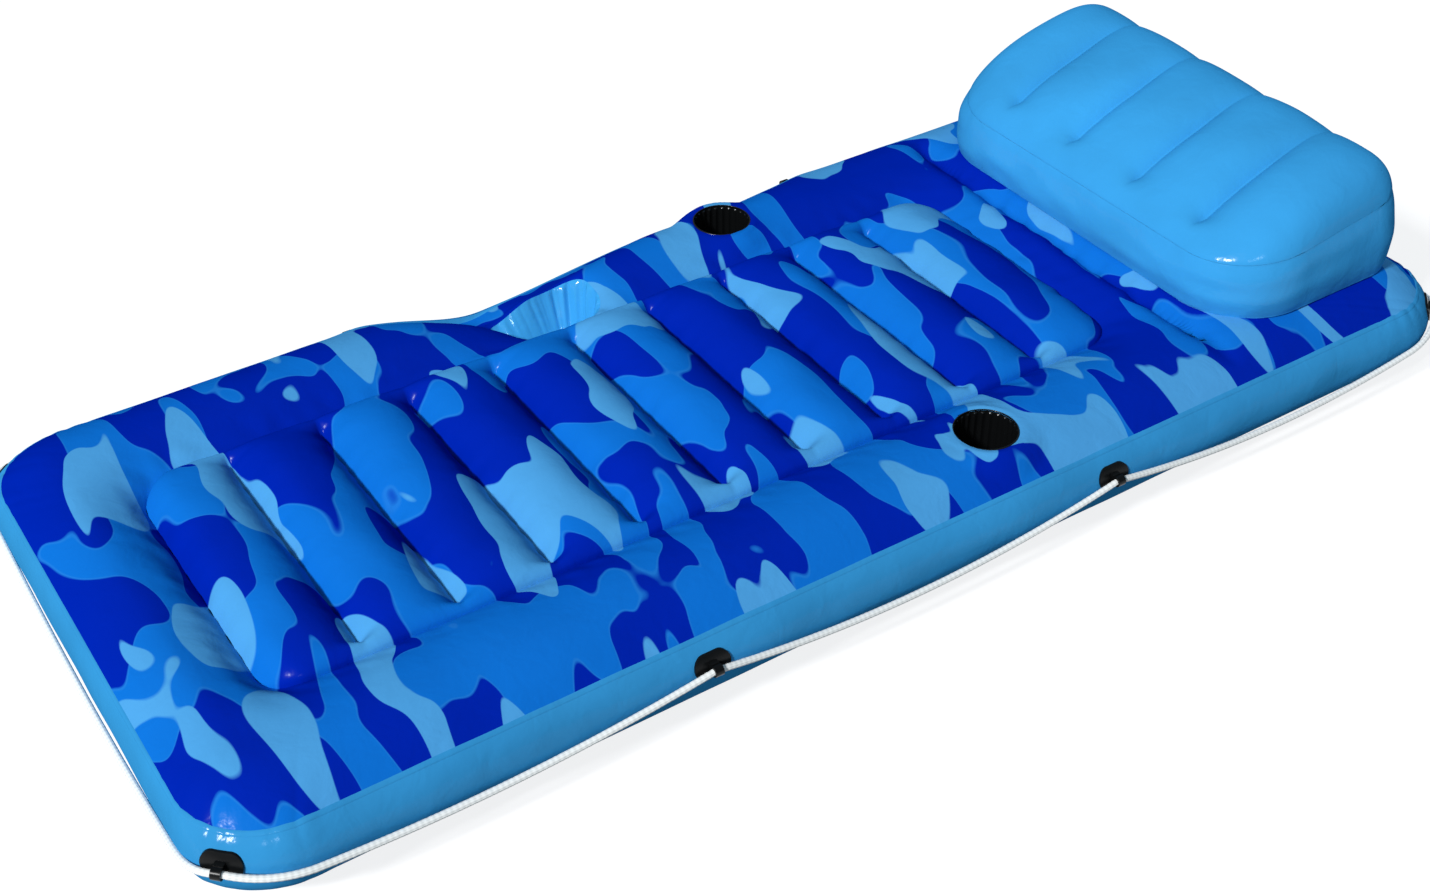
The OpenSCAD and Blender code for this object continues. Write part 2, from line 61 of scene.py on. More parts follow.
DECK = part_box("deck_sheet")
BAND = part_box("side_band")
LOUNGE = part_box("lounge_panel")
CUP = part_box("cup_near")
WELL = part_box("well_liner")
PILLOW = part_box("pillow_base")
# heights of the pillow's crest, and of the seam under it, at the front and at the back
PILLOW_CREST = (0.306, 0.394)
PILLOW_SEAM = (0.264, 0.326)
# how far the pillow's wall leans in at its front, its back and its ends
LEAN_FRONT, LEAN_BACK, LEAN_END = 0.008, 0.014, 0.006
CUP_RADIUS = (CUP[1].x - CUP[0].x)/2
CUP_BORE, CUP_FLOOR, CUP_RIB = 0.0460, 0.0026, 0.0022
WELL_CORNER = 0.0496
# middle of the dark print where the deck rolls into the well
WELL_ROLL = (-0.29, 0.31, 0.15)
# the rope's patches along the two long sides, and the rope's height in a patch
NEAR_PATCHES, FAR_PATCHES = (-0.3925, 0.3185), (-0.473, 0.399)
PATCH_Z = 0.108
# length of rope over which a strand of the braid comes round again
BRAID = 0.016
# points along, across and round each corner of the float's outlines
COUNTS = (300, 104, 60)
# the camera, fitted to the seams, channels and cups of the photograph
LENS_MM, SENSOR_MM = 47.69, 36.0
CAMERA_PLACE = (-1.36543, -1.97014, 1.88578)
CAMERA_AHEAD, CAMERA_UP = (0.42960, 0.65611, -0.62046), (0.34371, 0.51658, 0.78424)
# each lamp's name, place, size, power, colour, and whether films reflect it
COOL, WHITE = (0.70, 0.88, 1.0), (1.0, 1.0, 1.0)
LAMPS = (("key", (-21.8, -7.2, 19.2), 3.4, 9900.0, WHITE, True),
         ("fill", (-6.5, -9.8, 9.3), 0.8, 200.0, COOL, True),
         ("back", (14.0, 6.5, 2.6), 4.0, 560.0, COOL, False))
# the point low over the float that the lamps face
LAMP_AIM = (0.1, 0.0, 0.1)
FLOOR_REACH = 120.0
Loop = namedtuple("Loop", "points normals run total bend")
TAU = 2*np.pi


def length(name, description, default):
    """A size in metres."""
    return FloatProperty(name=name, description=description, default=default, unit="LENGTH")


def colour(name, description, default):
    """A colour as sRGB hex."""
    return StringProperty(name=name, description=description, default=default)


class LoungeSizes(bpy.types.PropertyGroup):
    """Sizes of the skins and the rope, as the part's source has them"""
    half_length: length("Half length", "From the middle to the end seams", DECK[1].x)
    half_width: length("Half width", "From the middle to the side seams", DECK[1].y)
    crest: length("Deck crest", "Height of the deck between its edges", 0.180)
    corner: length("Corner radius", "Plan radius of the welded seams at the corners", 0.120)
    edge_roll: length("Edge roll", "Width over which the deck rolls down to a seam", 0.095)
    lounge_x: length("Lounge middle", "Middle of the lounge panel along the float",
                     (LOUNGE[0].x + LOUNGE[1].x)/2)
    lounge_length: length("Lounge half length", "Half the lounge panel's length", 0.7215)
    lounge_width: length("Lounge half width", "Half the lounge panel's width", 0.250)
    lounge_corner: length("Lounge corner", "Corner radius of the lounge panel", 0.060)
    lounge_seam: length("Lounge seam", "Height of the seam round the lounge panel", 0.150)
    tubes: IntProperty(name="Tubes", description="Air tubes across the lounge panel", default=10)
    tube_rise: length("Tube rise", "Rise of a tube above its welds", 0.034)
    weld_sink: length("Weld sink", "How far a web pulls its weld below the lounge's seam", 0.010)
    foot_trench: length("Foot trench", "Further depth of the trench at the lounge's foot", 0.012)
    weld_shift: length("Weld shift", "How far the webs lean to the foot at their welds", 0.008)
    crease_x: length("Crease", "Where the crease before the pillow lies", 0.6155)
    crease_depth: length("Crease depth", "Depth of the crease before the pillow", 0.026)
    well_dip: length("Well dip", "How far the deck is drawn down round the well", 0.020)
    pucker: length("Pucker", "Height of the puckers along the corner seams", 0.0012)
    weld: length("Weld width", "Width of the flattened weld along a seam", 0.007)
    pillow_lobes: IntProperty(name="Pillow lobes", description="Lobes across the pillow", default=5)
    pillow_front: length("Pillow front corner", "Plan radius of the pillow's front corners", 0.130)
    pillow_back: length("Pillow back corner", "Plan radius of the pillow's back corners", 0.075)
    pillow_shift: length("Pillow shift", "How far the pillow's far end is drawn in", 0.006)
    pillow_rise: length("Lobe rise", "Rise of a pillow lobe above its channels", 0.027)
    rope: length("Rope", "Diameter of the grab line", 0.010)
    rope_sag: length("Rope sag", "Sag of the rope over a 750 mm span", 0.039)
    cup_ribs: IntProperty(name="Cup ribs", description="Ribs round the inside of a cup", default=26)


class LoungeColours(bpy.types.PropertyGroup):
    """Finish colours as sRGB hex"""
    print_mid: colour("Print, middle blue", "Ground of the print", "0D6AC6")
    print_dark: colour("Print, dark blue", "Dark patches of the print", "0021A0")
    print_light: colour("Print, light blue", "Light patches of the print", "4A98D2")
    sky: colour("Sky vinyl", "Plain vinyl of the band, base, well and pillow", "399CDB")
    black: colour("Black parts", "Cups, patches and valve", "0C0D0E")
    rope: colour("Rope", "Polyester of the grab line", "F1F2F0")
    clear: colour("Clear vinyl", "Webs, stem and disc", "D5E4EC")


def sizes():
    """The sizes as they stand in the panel."""
    return bpy.context.scene.lounge_sizes


def colours():
    """The colours as they stand in the panel."""
    return bpy.context.scene.lounge_colours


def linear(code):
    """sRGB hex to linear RGBA."""
    c = np.array([int(code[i:i + 2], 16) for i in (0, 2, 4)])/255
    c = np.where(c <= 0.04045, c/12.92, ((c + 0.055)/1.055)**2.4)
    return (*c.tolist(), 1.0)


def ease(a, b, x):
    """0 before a, 1 after b, an even S between."""
    t = np.clip((x - a)/(b - a), 0, 1)
    return t*t*(3 - 2*t)


def unit(v):
    """Vectors along the last axis, brought to length 1."""
    return v/np.linalg.norm(v, axis=-1, keepdims=True)


def inside(x, y, a, b, r):
    """Distance inside a rounded rectangle of half sizes a and b and corner radius r, negative outside."""
    p, q = np.abs(x) - a + r, np.abs(y) - b + r
    far = np.hypot(np.maximum(p, 0), np.maximum(q, 0))
    return r - np.where(np.maximum(p, q) > 0, far, np.maximum(p, q))


def half_at(x, a, b, r):
    """Half width at x of that rounded rectangle: b, less what the corner's circle takes off."""
    d = np.clip(a - np.abs(x), 0, r)
    return b - r + np.sqrt(np.maximum(r*r - (r - d)**2, 0))


def outline(a, b, r, along, across, turn, centre=(0.0, 0.0)):
    """A rounded rectangle walked anticlockwise: per quarter a corner of `turn` points, then a straight.
    r is one radius, or one for each corner from +X +Y on. Gives the points, their outward normals, the
    distance run, the whole length, and a corner share that is 1 on the arcs and falls off by 1/e every
    50 mm along the straights."""
    r = np.broadcast_to(r, 4)
    hubs = np.array([(1, 1), (-1, 1), (-1, -1), (1, -1)])*np.stack([a - r, b - r], 1)
    points, normals, bend = [], [], []
    for q in range(4):
        hub, far = hubs[q], hubs[(q + 1) % 4]
        angle = (q + np.arange(turn)/turn)*np.pi/2
        n = np.stack([np.cos(angle), np.sin(angle)], 1)
        e = np.array([np.cos((q + 1)*np.pi/2), np.sin((q + 1)*np.pi/2)])
        m = across if q % 2 else along
        t = np.arange(m)/m
        start, end = hub + r[q]*e, far + r[(q + 1) % 4]*e
        points += [hub + r[q]*n, start + (end - start)*t[:, None]]
        normals += [n, np.repeat(e[None], m, 0)]
        bend += [np.ones(turn), np.exp(-np.minimum(t, 1 - t)*np.linalg.norm(far - hub)/0.05)]
    points = np.concatenate(points) + centre
    step = np.linalg.norm(np.roll(points, -1, 0) - points, axis=1)
    return Loop(points, np.concatenate(normals), np.cumsum(step) - step, step.sum(), np.concatenate(bend))


def ripples(run, total, low, high, seed, count=16):
    """Sum of cosines with a whole number of waves round a loop, their lengths drawn between low and
    high and their phases at random from a fixed seed, scaled to a root mean square of 1."""
    rng = np.random.default_rng(seed)
    waves = np.round(total/rng.uniform(low, high, count))
    phase = rng.uniform(0, TAU, count)
    return np.cos(TAU*run[..., None]/total*waves + phase).sum(-1)/np.sqrt(count/2)


def slack(x, y, wavelength, seed, count=14):
    """Unevenness of slack film: cosines of about that wavelength in random plan directions, rms 1."""
    rng = np.random.default_rng(seed)
    turn, phase = rng.uniform(0, TAU, (2, count))
    k = TAU/(wavelength*rng.uniform(0.7, 1.5, count))
    wave = np.cos((x[..., None]*np.cos(turn) + y[..., None]*np.sin(turn))*k + phase)
    return wave.sum(-1)/np.sqrt(count/2)


def crown(u):
    """Round of a tube across its width, 0 at the welds and 1 at the crest: an arc of a circle whose
    radius is 1.12 times half the width, which meets the weld at about 63 degrees."""
    return (np.sqrt(1.2544 - (2*u - 1)**2) - 0.5044)/(1.12 - 0.5044)


def quads(n, m, wrap=False):
    """Corner numbers of the faces of an n by m grid of points, row by row."""
    i, j = np.arange(n if wrap else n - 1)[:, None], np.arange(m - 1)[None]
    a, b = i*m + j, ((i + 1) % n)*m + j
    return np.stack([a, b, b + 1, a + 1], -1).reshape(-1, 4)


def open_at(node, radius, grid, faces):
    """Faces of a grid, less those wholly within a radius of the middle of a fitting that goes through."""
    lo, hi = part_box(node)
    away = np.linalg.norm(grid.reshape(-1, 3) - (np.array(lo) + np.array(hi))/2, axis=1)
    return faces[~(away < radius)[faces].all(1)]


def put(name, grids, finish, nodes=(), body="float", close=False, uv=None):
    """Makes one piece from (points, faces) pairs. Points that no face uses are dropped, a pole's
    doubles are merged if close is true, and the piece rides on a body and stands for CAD nodes."""
    points, faces, base = [], [], 0
    for p, f in grids:
        p = p.reshape(-1, 3)
        points.append(p)
        faces.append(f + base)
        base += len(p)
    points, faces = np.concatenate(points), np.concatenate(faces)
    used, index = np.unique(faces, return_inverse=True)
    index = index.reshape(faces.shape)
    mesh = bpy.data.meshes.new(name)
    mesh.vertices.add(len(used))
    mesh.vertices.foreach_set("co", points[used].astype(np.float32).ravel())
    mesh.loops.add(index.size)
    mesh.loops.foreach_set("vertex_index", index.astype(np.int32).ravel())
    mesh.polygons.add(len(index))
    mesh.polygons.foreach_set("loop_start", np.arange(0, index.size, 4, dtype=np.int32))
    mesh.polygons.foreach_set("use_smooth", np.ones(len(index), bool))
    if uv is not None:
        layer = mesh.uv_layers.new(name="UVMap")
        layer.data.foreach_set("uv", uv.astype(np.float32).ravel())
    mesh.update(calc_edges=True)
    if close:
        bm = bmesh.new()
        bm.from_mesh(mesh)
        bmesh.ops.remove_doubles(bm, verts=bm.verts, dist=1e-6)
        bm.to_mesh(mesh)
        bm.free()
    mesh.validate()
    mesh.materials.append(finish)
    piece = bpy.data.objects.new(name, mesh)
    bpy.context.scene.collection.objects.link(piece)
    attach(piece, body)
    if nodes:
        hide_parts(*nodes)
    return piece


def add(tree, kind, links=None, **settings):
    """Adds a node, sets its settings, and gives each input a value or a link."""
    n = tree.nodes.new(kind)
    for key, value in settings.items():
        setattr(n, key, value)
    for key, value in (links or {}).items():
        if isinstance(value, bpy.types.NodeSocket):
            tree.links.new(value, n.inputs[key])
        else:
            n.inputs[key].default_value = value
    return n


def finish(name, links=None, paint=None):
    """A material with a Principled surface. paint(tree) returns further inputs, linked from nodes."""
    found = bpy.data.materials.get(name)
    if found:
        return found
    made = bpy.data.materials.new(name)
    made.use_nodes = True
    tree = made.node_tree
    tree.nodes.clear()
    inputs = dict(links or {})
    if paint:
        inputs.update(paint(tree))
    surface = add(tree, "ShaderNodeBsdfPrincipled", inputs)
    add(tree, "ShaderNodeOutputMaterial", {"Surface": surface.outputs[0]})
    return made


def dimmed(tone, share):
    """A linear colour at a share of its brightness."""
    return tuple(v*share for v in tone[:3]) + (1.0,)


def film_bump(tree, place):
    """Calendered film: a soft orange peel 9 mm across over slack wrinkles 45 mm across."""
    peel = add(tree, "ShaderNodeTexNoise", {"Vector": place, "Scale": 1/0.009, "Detail": 2.0})
    wrinkle = add(tree, "ShaderNodeTexNoise", {"Vector": place, "Scale": 1/0.045, "Detail": 3.0,
                                               "Distortion": 0.6})
    faint = add(tree, "ShaderNodeMath", {0: peel.outputs[0], 1: 0.16}, operation="MULTIPLY")
    both = add(tree, "ShaderNodeMath", {0: faint.outputs[0], 1: wrinkle.outputs[0]}, operation="ADD")
    return add(tree, "ShaderNodeBump", {"Height": both.outputs[0], "Strength": 0.55,
                                        "Distance": 0.003}).outputs[0]


def polish(tree, shine):
    """Level of a film's gloss, which fades out on film that is seen nearly edge on."""
    turn = add(tree, "ShaderNodeLayerWeight", {"Blend": 0.5}).outputs["Facing"]
    fade = {"From Min": 0.20, "From Max": 0.45, "To Min": shine, "To Max": 0.0}
    return add(tree, "ShaderNodeMapRange", {"Value": turn, **fade},
               interpolation_type="SMOOTHSTEP").outputs[0]


def printed_film():
    """Soft PVC film, calendered and gravure printed in three blues under a clear glossy lacquer:
    crisp-edged patches about 80 mm along the float and 190 mm across it, fewer on the strip of deck
    beside the lounge's near side, and dark on the roll into the well."""
    c = colours()

    def paint(tree):
        place = add(tree, "ShaderNodeTexCoord").outputs["Object"]
        x, y, _ = add(tree, "ShaderNodeSeparateXYZ", {"Vector": place}).outputs
        # the strip with fewer patches, cut off at the lounge's seam, before the near cup and at the foot
        bare = 0.07
        for value, start, end, low in ((y, -0.42, -0.37, 0.0), (y, -0.30, -0.255, 1.0),
                                       (x, 0.05, 0.20, 1.0), (x, -0.86, -0.74, 0.0)):
            edge = {"From Min": start, "From Max": end, "To Min": low, "To Max": 1 - low}
            share = add(tree, "ShaderNodeMapRange", {"Value": value, **edge},
                        interpolation_type="SMOOTHSTEP").outputs[0]
            bare = add(tree, "ShaderNodeMath", {0: share, 1: bare}, operation="MULTIPLY").outputs[0]
        off = add(tree, "ShaderNodeVectorMath", {0: place, 1: WELL_ROLL}, operation="DISTANCE")
        edge = {"From Min": 0.06, "From Max": 0.13, "To Min": 0.11, "To Max": 0.0}
        roll = add(tree, "ShaderNodeMapRange", {"Value": off.outputs["Value"], **edge},
                   interpolation_type="SMOOTHSTEP").outputs[0]
        flat = add(tree, "ShaderNodeMapping", {"Vector": place, "Scale": (1/0.088, 1/0.20, 0.0),
                                               "Rotation": (0, 0, 0.16)}).outputs[0]
        shape = {"Vector": flat, "Scale": 1.0, "Detail": 1.0, "Roughness": 0.32, "Distortion": 0.45}
        inks = []
        for w, sign in ((3.1, "ADD"), (6.2, "SUBTRACT")):
            ink = add(tree, "ShaderNodeTexNoise", {**shape, "W": w}, noise_dimensions="4D")
            ink = add(tree, "ShaderNodeMath", {0: ink.outputs[0], 1: bare}, operation="SUBTRACT")
            ink = add(tree, "ShaderNodeMath", {0: ink.outputs[0], 1: roll}, operation=sign)
            inks.append(ink.outputs[0])
        dark, light = inks
        in_dark, in_light, wide = (
            add(tree, "ShaderNodeMapRange", {"Value": ink, "From Min": start, "From Max": end}).outputs[0]
            for ink, start, end in ((dark, 0.482, 0.489), (light, 0.572, 0.579), (dark, 0.476, 0.480)))
        # the inks overlap badly by about 1 mm, which leaves a thin pale line round the dark patches
        line = add(tree, "ShaderNodeMath", {0: wide, 1: in_dark}, operation="SUBTRACT")
        line = add(tree, "ShaderNodeMath", {0: line.outputs[0], 1: 0.12}, operation="MULTIPLY").outputs[0]
        full = linear(c.print_mid)
        for share, ink in ((in_dark, c.print_dark), (in_light, c.print_light), (line, c.print_light)):
            full = add(tree, "ShaderNodeMix", {0: share, 6: full, 7: linear(ink)},
                       data_type="RGBA").outputs[2]
        haze = add(tree, "ShaderNodeTexNoise", {"Vector": place, "Scale": 1/0.06, "Detail": 2.0})
        gloss = add(tree, "ShaderNodeMapRange", {"Value": haze.outputs[0], "To Min": 0.14, "To Max": 0.26})
        return {"Base Color": full, "Roughness": gloss.outputs[0],
                "Specular IOR Level": polish(tree, 0.05), "Normal": film_bump(tree, place)}

    return finish("printed_pvc_film", {"IOR": 1.45}, paint)


def sky_film(name="sky_blue_pvc_film", tone=1.0, shine=0.14):
    """Soft PVC film tinted sky blue right through: glossy, a little uneven in depth of colour. tone
    darkens the colour, which on the side band is painted shade, and shine is the level of its polish."""
    full = dimmed(linear(colours().sky), tone)

    def paint(tree):
        place = add(tree, "ShaderNodeTexCoord").outputs["Object"]
        cloud = add(tree, "ShaderNodeTexNoise", {"Vector": place, "Scale": 1/0.16, "Detail": 2.0}).outputs[0]
        depth = add(tree, "ShaderNodeMapRange", {"Value": cloud, "From Min": 0.3, "From Max": 0.7})
        shade = add(tree, "ShaderNodeMix", {0: depth.outputs[0], 6: dimmed(full, 0.86), 7: full},
                    data_type="RGBA")
        gloss = add(tree, "ShaderNodeMapRange", {"Value": cloud, "To Min": 0.11, "To Max": 0.21})
        return {"Base Color": shade.outputs[2], "Roughness": gloss.outputs[0],
                "Specular IOR Level": polish(tree, shine), "Normal": film_bump(tree, place)}

    return finish(name, {"IOR": 1.45}, paint)


def band_film_painted_shade():
    """The same film on the side band and its welds, its colour darkened to 0.84 as painted shade."""
    # the 0.84 is painted shade: the band is drawn darker than the same film elsewhere
    return sky_film("sky_blue_pvc_band_painted_shade_film", 0.84, 0.08)


def liner_film():
    """The same film, thin and slack in the well, with a brighter polish."""
    return sky_film("sky_blue_pvc_liner_film", 1.0, 0.45)


def clear_film():
    """Clear flexible PVC: a cool, slightly milky film that lets most light through."""
    def paint(tree):
        place = add(tree, "ShaderNodeTexCoord").outputs["Object"]
        milk = add(tree, "ShaderNodeTexNoise", {"Vector": place, "Scale": 1/0.02, "Detail": 2.0})
        gloss = add(tree, "ShaderNodeMapRange", {"Value": milk.outputs[0], "To Min": 0.10, "To Max": 0.24})
        return {"Roughness": gloss.outputs[0]}

    return finish("clear_flexible_pvc", {"Base Color": linear(colours().clear), "IOR": 1.52,
                                         "Transmission Weight": 0.35}, paint)


def black_moulding(name, grit, low, high, depth, shine=0.5):
    """Black moulded plastic or rubber with a fine spark-eroded grain, drawn coarser than its real
    0.1 mm so that it shows. shine is the level of its polish."""
    def paint(tree):
        place = add(tree, "ShaderNodeTexCoord").outputs["Object"]
        grain, worn = (add(tree, "ShaderNodeTexNoise", {"Vector": place, "Scale": 1/size, "Detail": 2.0})
                       for size in (grit, 0.02))
        gloss = add(tree, "ShaderNodeMapRange", {"Value": worn.outputs[0], "To Min": low, "To Max": high})
        rough = add(tree, "ShaderNodeBump", {"Height": grain.outputs[0], "Strength": 0.4, "Distance": depth})
        return {"Roughness": gloss.outputs[0], "Normal": rough.outputs[0]}

    return finish(name, {"Base Color": linear(colours().black), "IOR": 1.5,
                         "Specular IOR Level": shine}, paint)


def rope_braid():
    """Braided polyester: sixteen strands cross over each other every 8 mm along the rope, white, with
    painted shade darkening the valleys to grey. U runs along the rope in metres, V round it."""
    white = linear(colours().rope)

    def paint(tree):
        uv = add(tree, "ShaderNodeUVMap", uv_map="UVMap").outputs[0]
        part = add(tree, "ShaderNodeSeparateXYZ", {"Vector": uv}).outputs
        along, around = (add(tree, "ShaderNodeMath", {0: part[i], 1: turns}, operation="MULTIPLY").outputs[0]
                         for i, turns in ((0, TAU/BRAID), (1, TAU*4)))
        lays = []
        for way in ("ADD", "SUBTRACT"):
            turn = add(tree, "ShaderNodeMath", {0: along, 1: around}, operation=way)
            lays.append(add(tree, "ShaderNodeMath", {0: turn.outputs[0]}, operation="SINE").outputs[0])
        both = add(tree, "ShaderNodeMath", {0: lays[0], 1: lays[1]}, operation="MULTIPLY").outputs[0]
        high = add(tree, "ShaderNodeMapRange", {"Value": both, "From Min": -1.0, "From Max": 0.6}).outputs[0]
        # painted shade: the valleys between the strands are darkened to 0.78 of the white
        shade = add(tree, "ShaderNodeMix", {0: high, 6: dimmed(white, 0.78), 7: white}, data_type="RGBA")
        strand = add(tree, "ShaderNodeBump", {"Height": high, "Strength": 0.4, "Distance": 0.0006})
        return {"Base Color": shade.outputs[2], "Normal": strand.outputs[0]}

    return finish("braided_polyester_rope", {"Roughness": 0.75, "Sheen Weight": 0.25}, paint)


def paper():
    """Matt white paper, which shows white to the camera and in reflections but lights the float no more
    than a grey floor would."""
    def paint(tree):
        place = add(tree, "ShaderNodeTexCoord").outputs["Object"]
        cloud = add(tree, "ShaderNodeTexNoise", {"Vector": place, "Scale": 1/1.25, "Detail": 2.0})
        tone = add(tree, "ShaderNodeMapRange", {"Value": cloud.outputs[0], "To Min": 0.25, "To Max": 0.255})
        rays = add(tree, "ShaderNodeLightPath").outputs
        seen = rays["Is Camera Ray"]
        for ray in ("Is Glossy Ray", "Is Transmission Ray"):
            seen = add(tree, "ShaderNodeMath", {0: seen, 1: rays[ray]}, operation="MAXIMUM").outputs[0]
        glow = add(tree, "ShaderNodeMath", {0: seen, 1: 0.83}, operation="MULTIPLY")
        return {"Base Color": tone.outputs[0], "Emission Strength": glow.outputs[0]}

    return finish("matt_white_paper", {"Roughness": 0.9, "Specular IOR Level": 0.1,
                                       "Emission Color": (1, 1, 1, 1)}, paint)


def float_loop():
    """Outline of the float's seams."""
    s = sizes()
    return outline(s.half_length, s.half_width, s.corner, *COUNTS)


def lounge_loop(counts=COUNTS):
    """Outline of the lounge panel's seam."""
    s = sizes()
    return outline(s.lounge_length, s.lounge_width, s.lounge_corner, *counts, (s.lounge_x, 0))


def from_edge(x, y):
    """Distance in from the float's seams, 0 outside them."""
    s = sizes()
    return np.maximum(0, inside(x, y, s.half_length, s.half_width, s.corner))


def from_lounge(x, y):
    """Distance out from the lounge's seam, 0 on the panel."""
    s = sizes()
    return np.maximum(0, -inside(x - s.lounge_x, y, s.lounge_length, s.lounge_width, s.lounge_corner))


def seam_wave():
    """Puckers of the top and base seams round the float: short and sharp-valleyed at the corners,
    long and faint along the straights. One value for each point of the float's outline."""
    loop = float_loop()
    short = np.abs(ripples(loop.run, loop.total, 0.036, 0.110, 3)) - 0.7
    long = ripples(loop.run, loop.total, 0.10, 0.26, 5)
    return sizes().pucker*(loop.bend*short + 0.30*(1 - loop.bend)*long)


def deck_z(x, y):
    """Top of the deck: the crest, less a squared roll to the band's seam and one to the lounge's, less
    the crease before the pillow and the dip round the well, raised flat to each cup's rim."""
    s = sizes()
    o, n = from_edge(x, y), from_lounge(x, y)
    crease = (1 - np.clip(np.abs(x - s.crease_x)/0.042, 0, 1))**2
    crease = crease*np.clip((s.half_width - np.abs(y))/0.112, 0, 1)**2
    dip = (1 - np.clip(np.abs(x - well_middle()[0])/0.26, 0, 1)**2)**2
    dip = dip*np.clip(n/0.06, 0, 1)*np.clip(o/0.04, 0, 1)*(y > 0)
    z = (s.crest - (s.crest - BAND[1].z)*(1 - np.clip(o/s.edge_roll, 0, 1))**2
         - (s.crest - s.lounge_seam)*(1 - np.clip(n/s.edge_roll, 0, 1))**2
         - s.crease_depth*crease - s.well_dip*dip)
    for cx, cy in cup_middles():
        near = ease(0.045, 0.004, np.hypot(x - cx, y - cy) - CUP_RADIUS)
        z = z*(1 - near) + (CUP[1].z - 0.0006)*near
    return z


def pinch(x):
    """Share of the far side's pinch along the float: it starts within 220 mm at the well's foot end and
    dies away over 700 mm towards the pillow."""
    past = x - well_middle()[0]
    return ease(-0.28, -0.06, past)*(1 - 0.70*ease(-0.10, 0.32, past))*(1 - ease(0.40, 0.65, past))


def draw_in(x, y, z):
    """Moves points of the far side near the well in and down, where its liner pulls on the deck: by 22
    and 33 mm at the seam, dying away 110 mm in from the seam and 90 mm down the band, or 28 mm down it
    beside the rope's patches, and leaving the far cup alone. Above each far patch the seam rises 3 mm."""
    wx, along = well_middle()[0], pinch(x)
    edge = sizes().half_width
    low = 0.112 - 0.062*ease(wx - 0.235, wx - 0.17, x)
    cup_x, cup_y = cup_middles()[1]
    down = ease(low, BAND[1].z, z)*ease(0.055, 0.095, np.hypot(x - cup_x, y - cup_y))
    y_in = 0.022*along*ease(edge - 0.10, edge, y)*down
    z_in = 0.033*along*ease(edge - 0.11, edge - 0.01, y)*down
    patch = sum(np.exp(-((x - at)/0.035)**2) for at in FAR_PATCHES)
    return y - y_in, z - z_in + 0.003*patch*ease(edge - 0.06, edge, y)*ease(0.12, BAND[1].z, z)


def foot_flat(y):
    """Share of the foot end's flattening at y: 1 across it, falling as a sine to the power 1.5 to 0 at
    the corner patches."""
    return np.sin(np.clip((0.438 - np.abs(y))/0.108, 0, 1)*np.pi/2)**1.5


def foot_dip(x):
    """Share of the deeper trench at the lounge's foot end: 1 from the end on, 0 from 50 mm inside it."""
    end = sizes().lounge_x - sizes().lounge_length
    return ease(end + 0.05, end, x)


def cup_middles():
    """Middle of the near cup in plan, and of the far cup, its mirror image across the float."""
    x, y = (CUP[0].x + CUP[1].x)/2, (CUP[0].y + CUP[1].y)/2
    return (x, y), (x, -y)


def well_middle():
    """Middle of the ice well in plan."""
    return (WELL[0].x + WELL[1].x)/2, (WELL[0].y + WELL[1].y)/2


def well_inside(x, y):
    """Distance inside the ice well's outline."""
    wx, wy = well_middle()
    return inside(x - wx, y - wy, (WELL[1].x - WELL[0].x)/2, (WELL[1].y - WELL[0].y)/2, WELL_CORNER)


def well_slide(x, y):
    """x after the deck has bulged over the well: its foot edge moves 18 mm to the head on the far side
    and 105 mm on the near side, its head edge 18 mm to the foot, and the deck 160 mm either way follows."""
    lo, hi = WELL
    foot = 0.105 - 0.087*np.clip((y - lo.y)/(hi.y - lo.y), 0, 1)
    foot = foot*ease(lo.x - 0.16, lo.x, x)*ease(hi.x, lo.x, x)
    head = 0.018*ease(lo.x, hi.x, x)*ease(hi.x + 0.16, hi.x, x)
    return x + (foot - head)*ease(0.20, 0.25, y)*ease(0.445, 0.395, y)


def deck_shape(x, y, wave):
    """Height of the finished deck: its form, the seam puckers dying away over 35 mm, short puckers
    beside the lounge's seam and along the crease, slack of about a millimetre, a low ring of film round
    each cup, and the lip that rolls down into the well, over 12 mm and at its foot end over 55 mm."""
    s = sizes()
    o, n = from_edge(x, y), from_lounge(x, y)
    free = ease(0.0, 0.03, o)*ease(0.0, 0.03, n)
    z = deck_z(x, y) + 0.8*wave*np.exp(-o/0.035) - s.foot_trench*foot_dip(x)*np.exp(-n/0.03)
    z += 0.0011*slack(x, y, 0.045, 11)*(n/0.014)*np.exp(1 - n/0.014)*0.6
    z += 0.0016*slack(y, y*0, 0.042, 13)*np.exp(-np.abs(x - s.crease_x)/0.018)*free
    z += 0.0008*slack(x, y, 0.16, 17)*free
    for cx, cy in cup_middles():
        gap = np.hypot(x - cx, y - cy) - CUP_RADIUS
        z += 0.0022*np.exp(-((gap - 0.008)/0.005)**2)
    d = np.maximum(0, -well_inside(x, y))
    foot = ease(well_middle()[0] + 0.02, WELL[0].x, x)
    return z - (0.010 + 0.040*foot)*np.exp(-d/(0.012 + 0.043*foot))*(y > 0)*ease(0.0, 0.02, n)


def pull_to_holes(x, y):
    """Moves points that lie in a cup's hole or the well's out to its edge, and says which were in."""
    radius = CUP_RADIUS - 0.0008
    hidden = np.zeros(x.shape, bool)
    for cx, cy in cup_middles():
        r = np.hypot(x - cx, y - cy)
        within = r < radius
        k = np.where(within, radius/np.maximum(r, 1e-6), 1.0)
        x, y = cx + (x - cx)*k, cy + (y - cy)*k
        hidden |= within
    d, e = well_inside(x, y), 1e-4
    gx = (well_inside(x + e, y) - well_inside(x - e, y))/(2*e)
    gy = (well_inside(x, y + e) - well_inside(x, y - e))/(2*e)
    within = d > 0
    return np.where(within, x - gx*d, x), np.where(within, y - gy*d, y), hidden | within


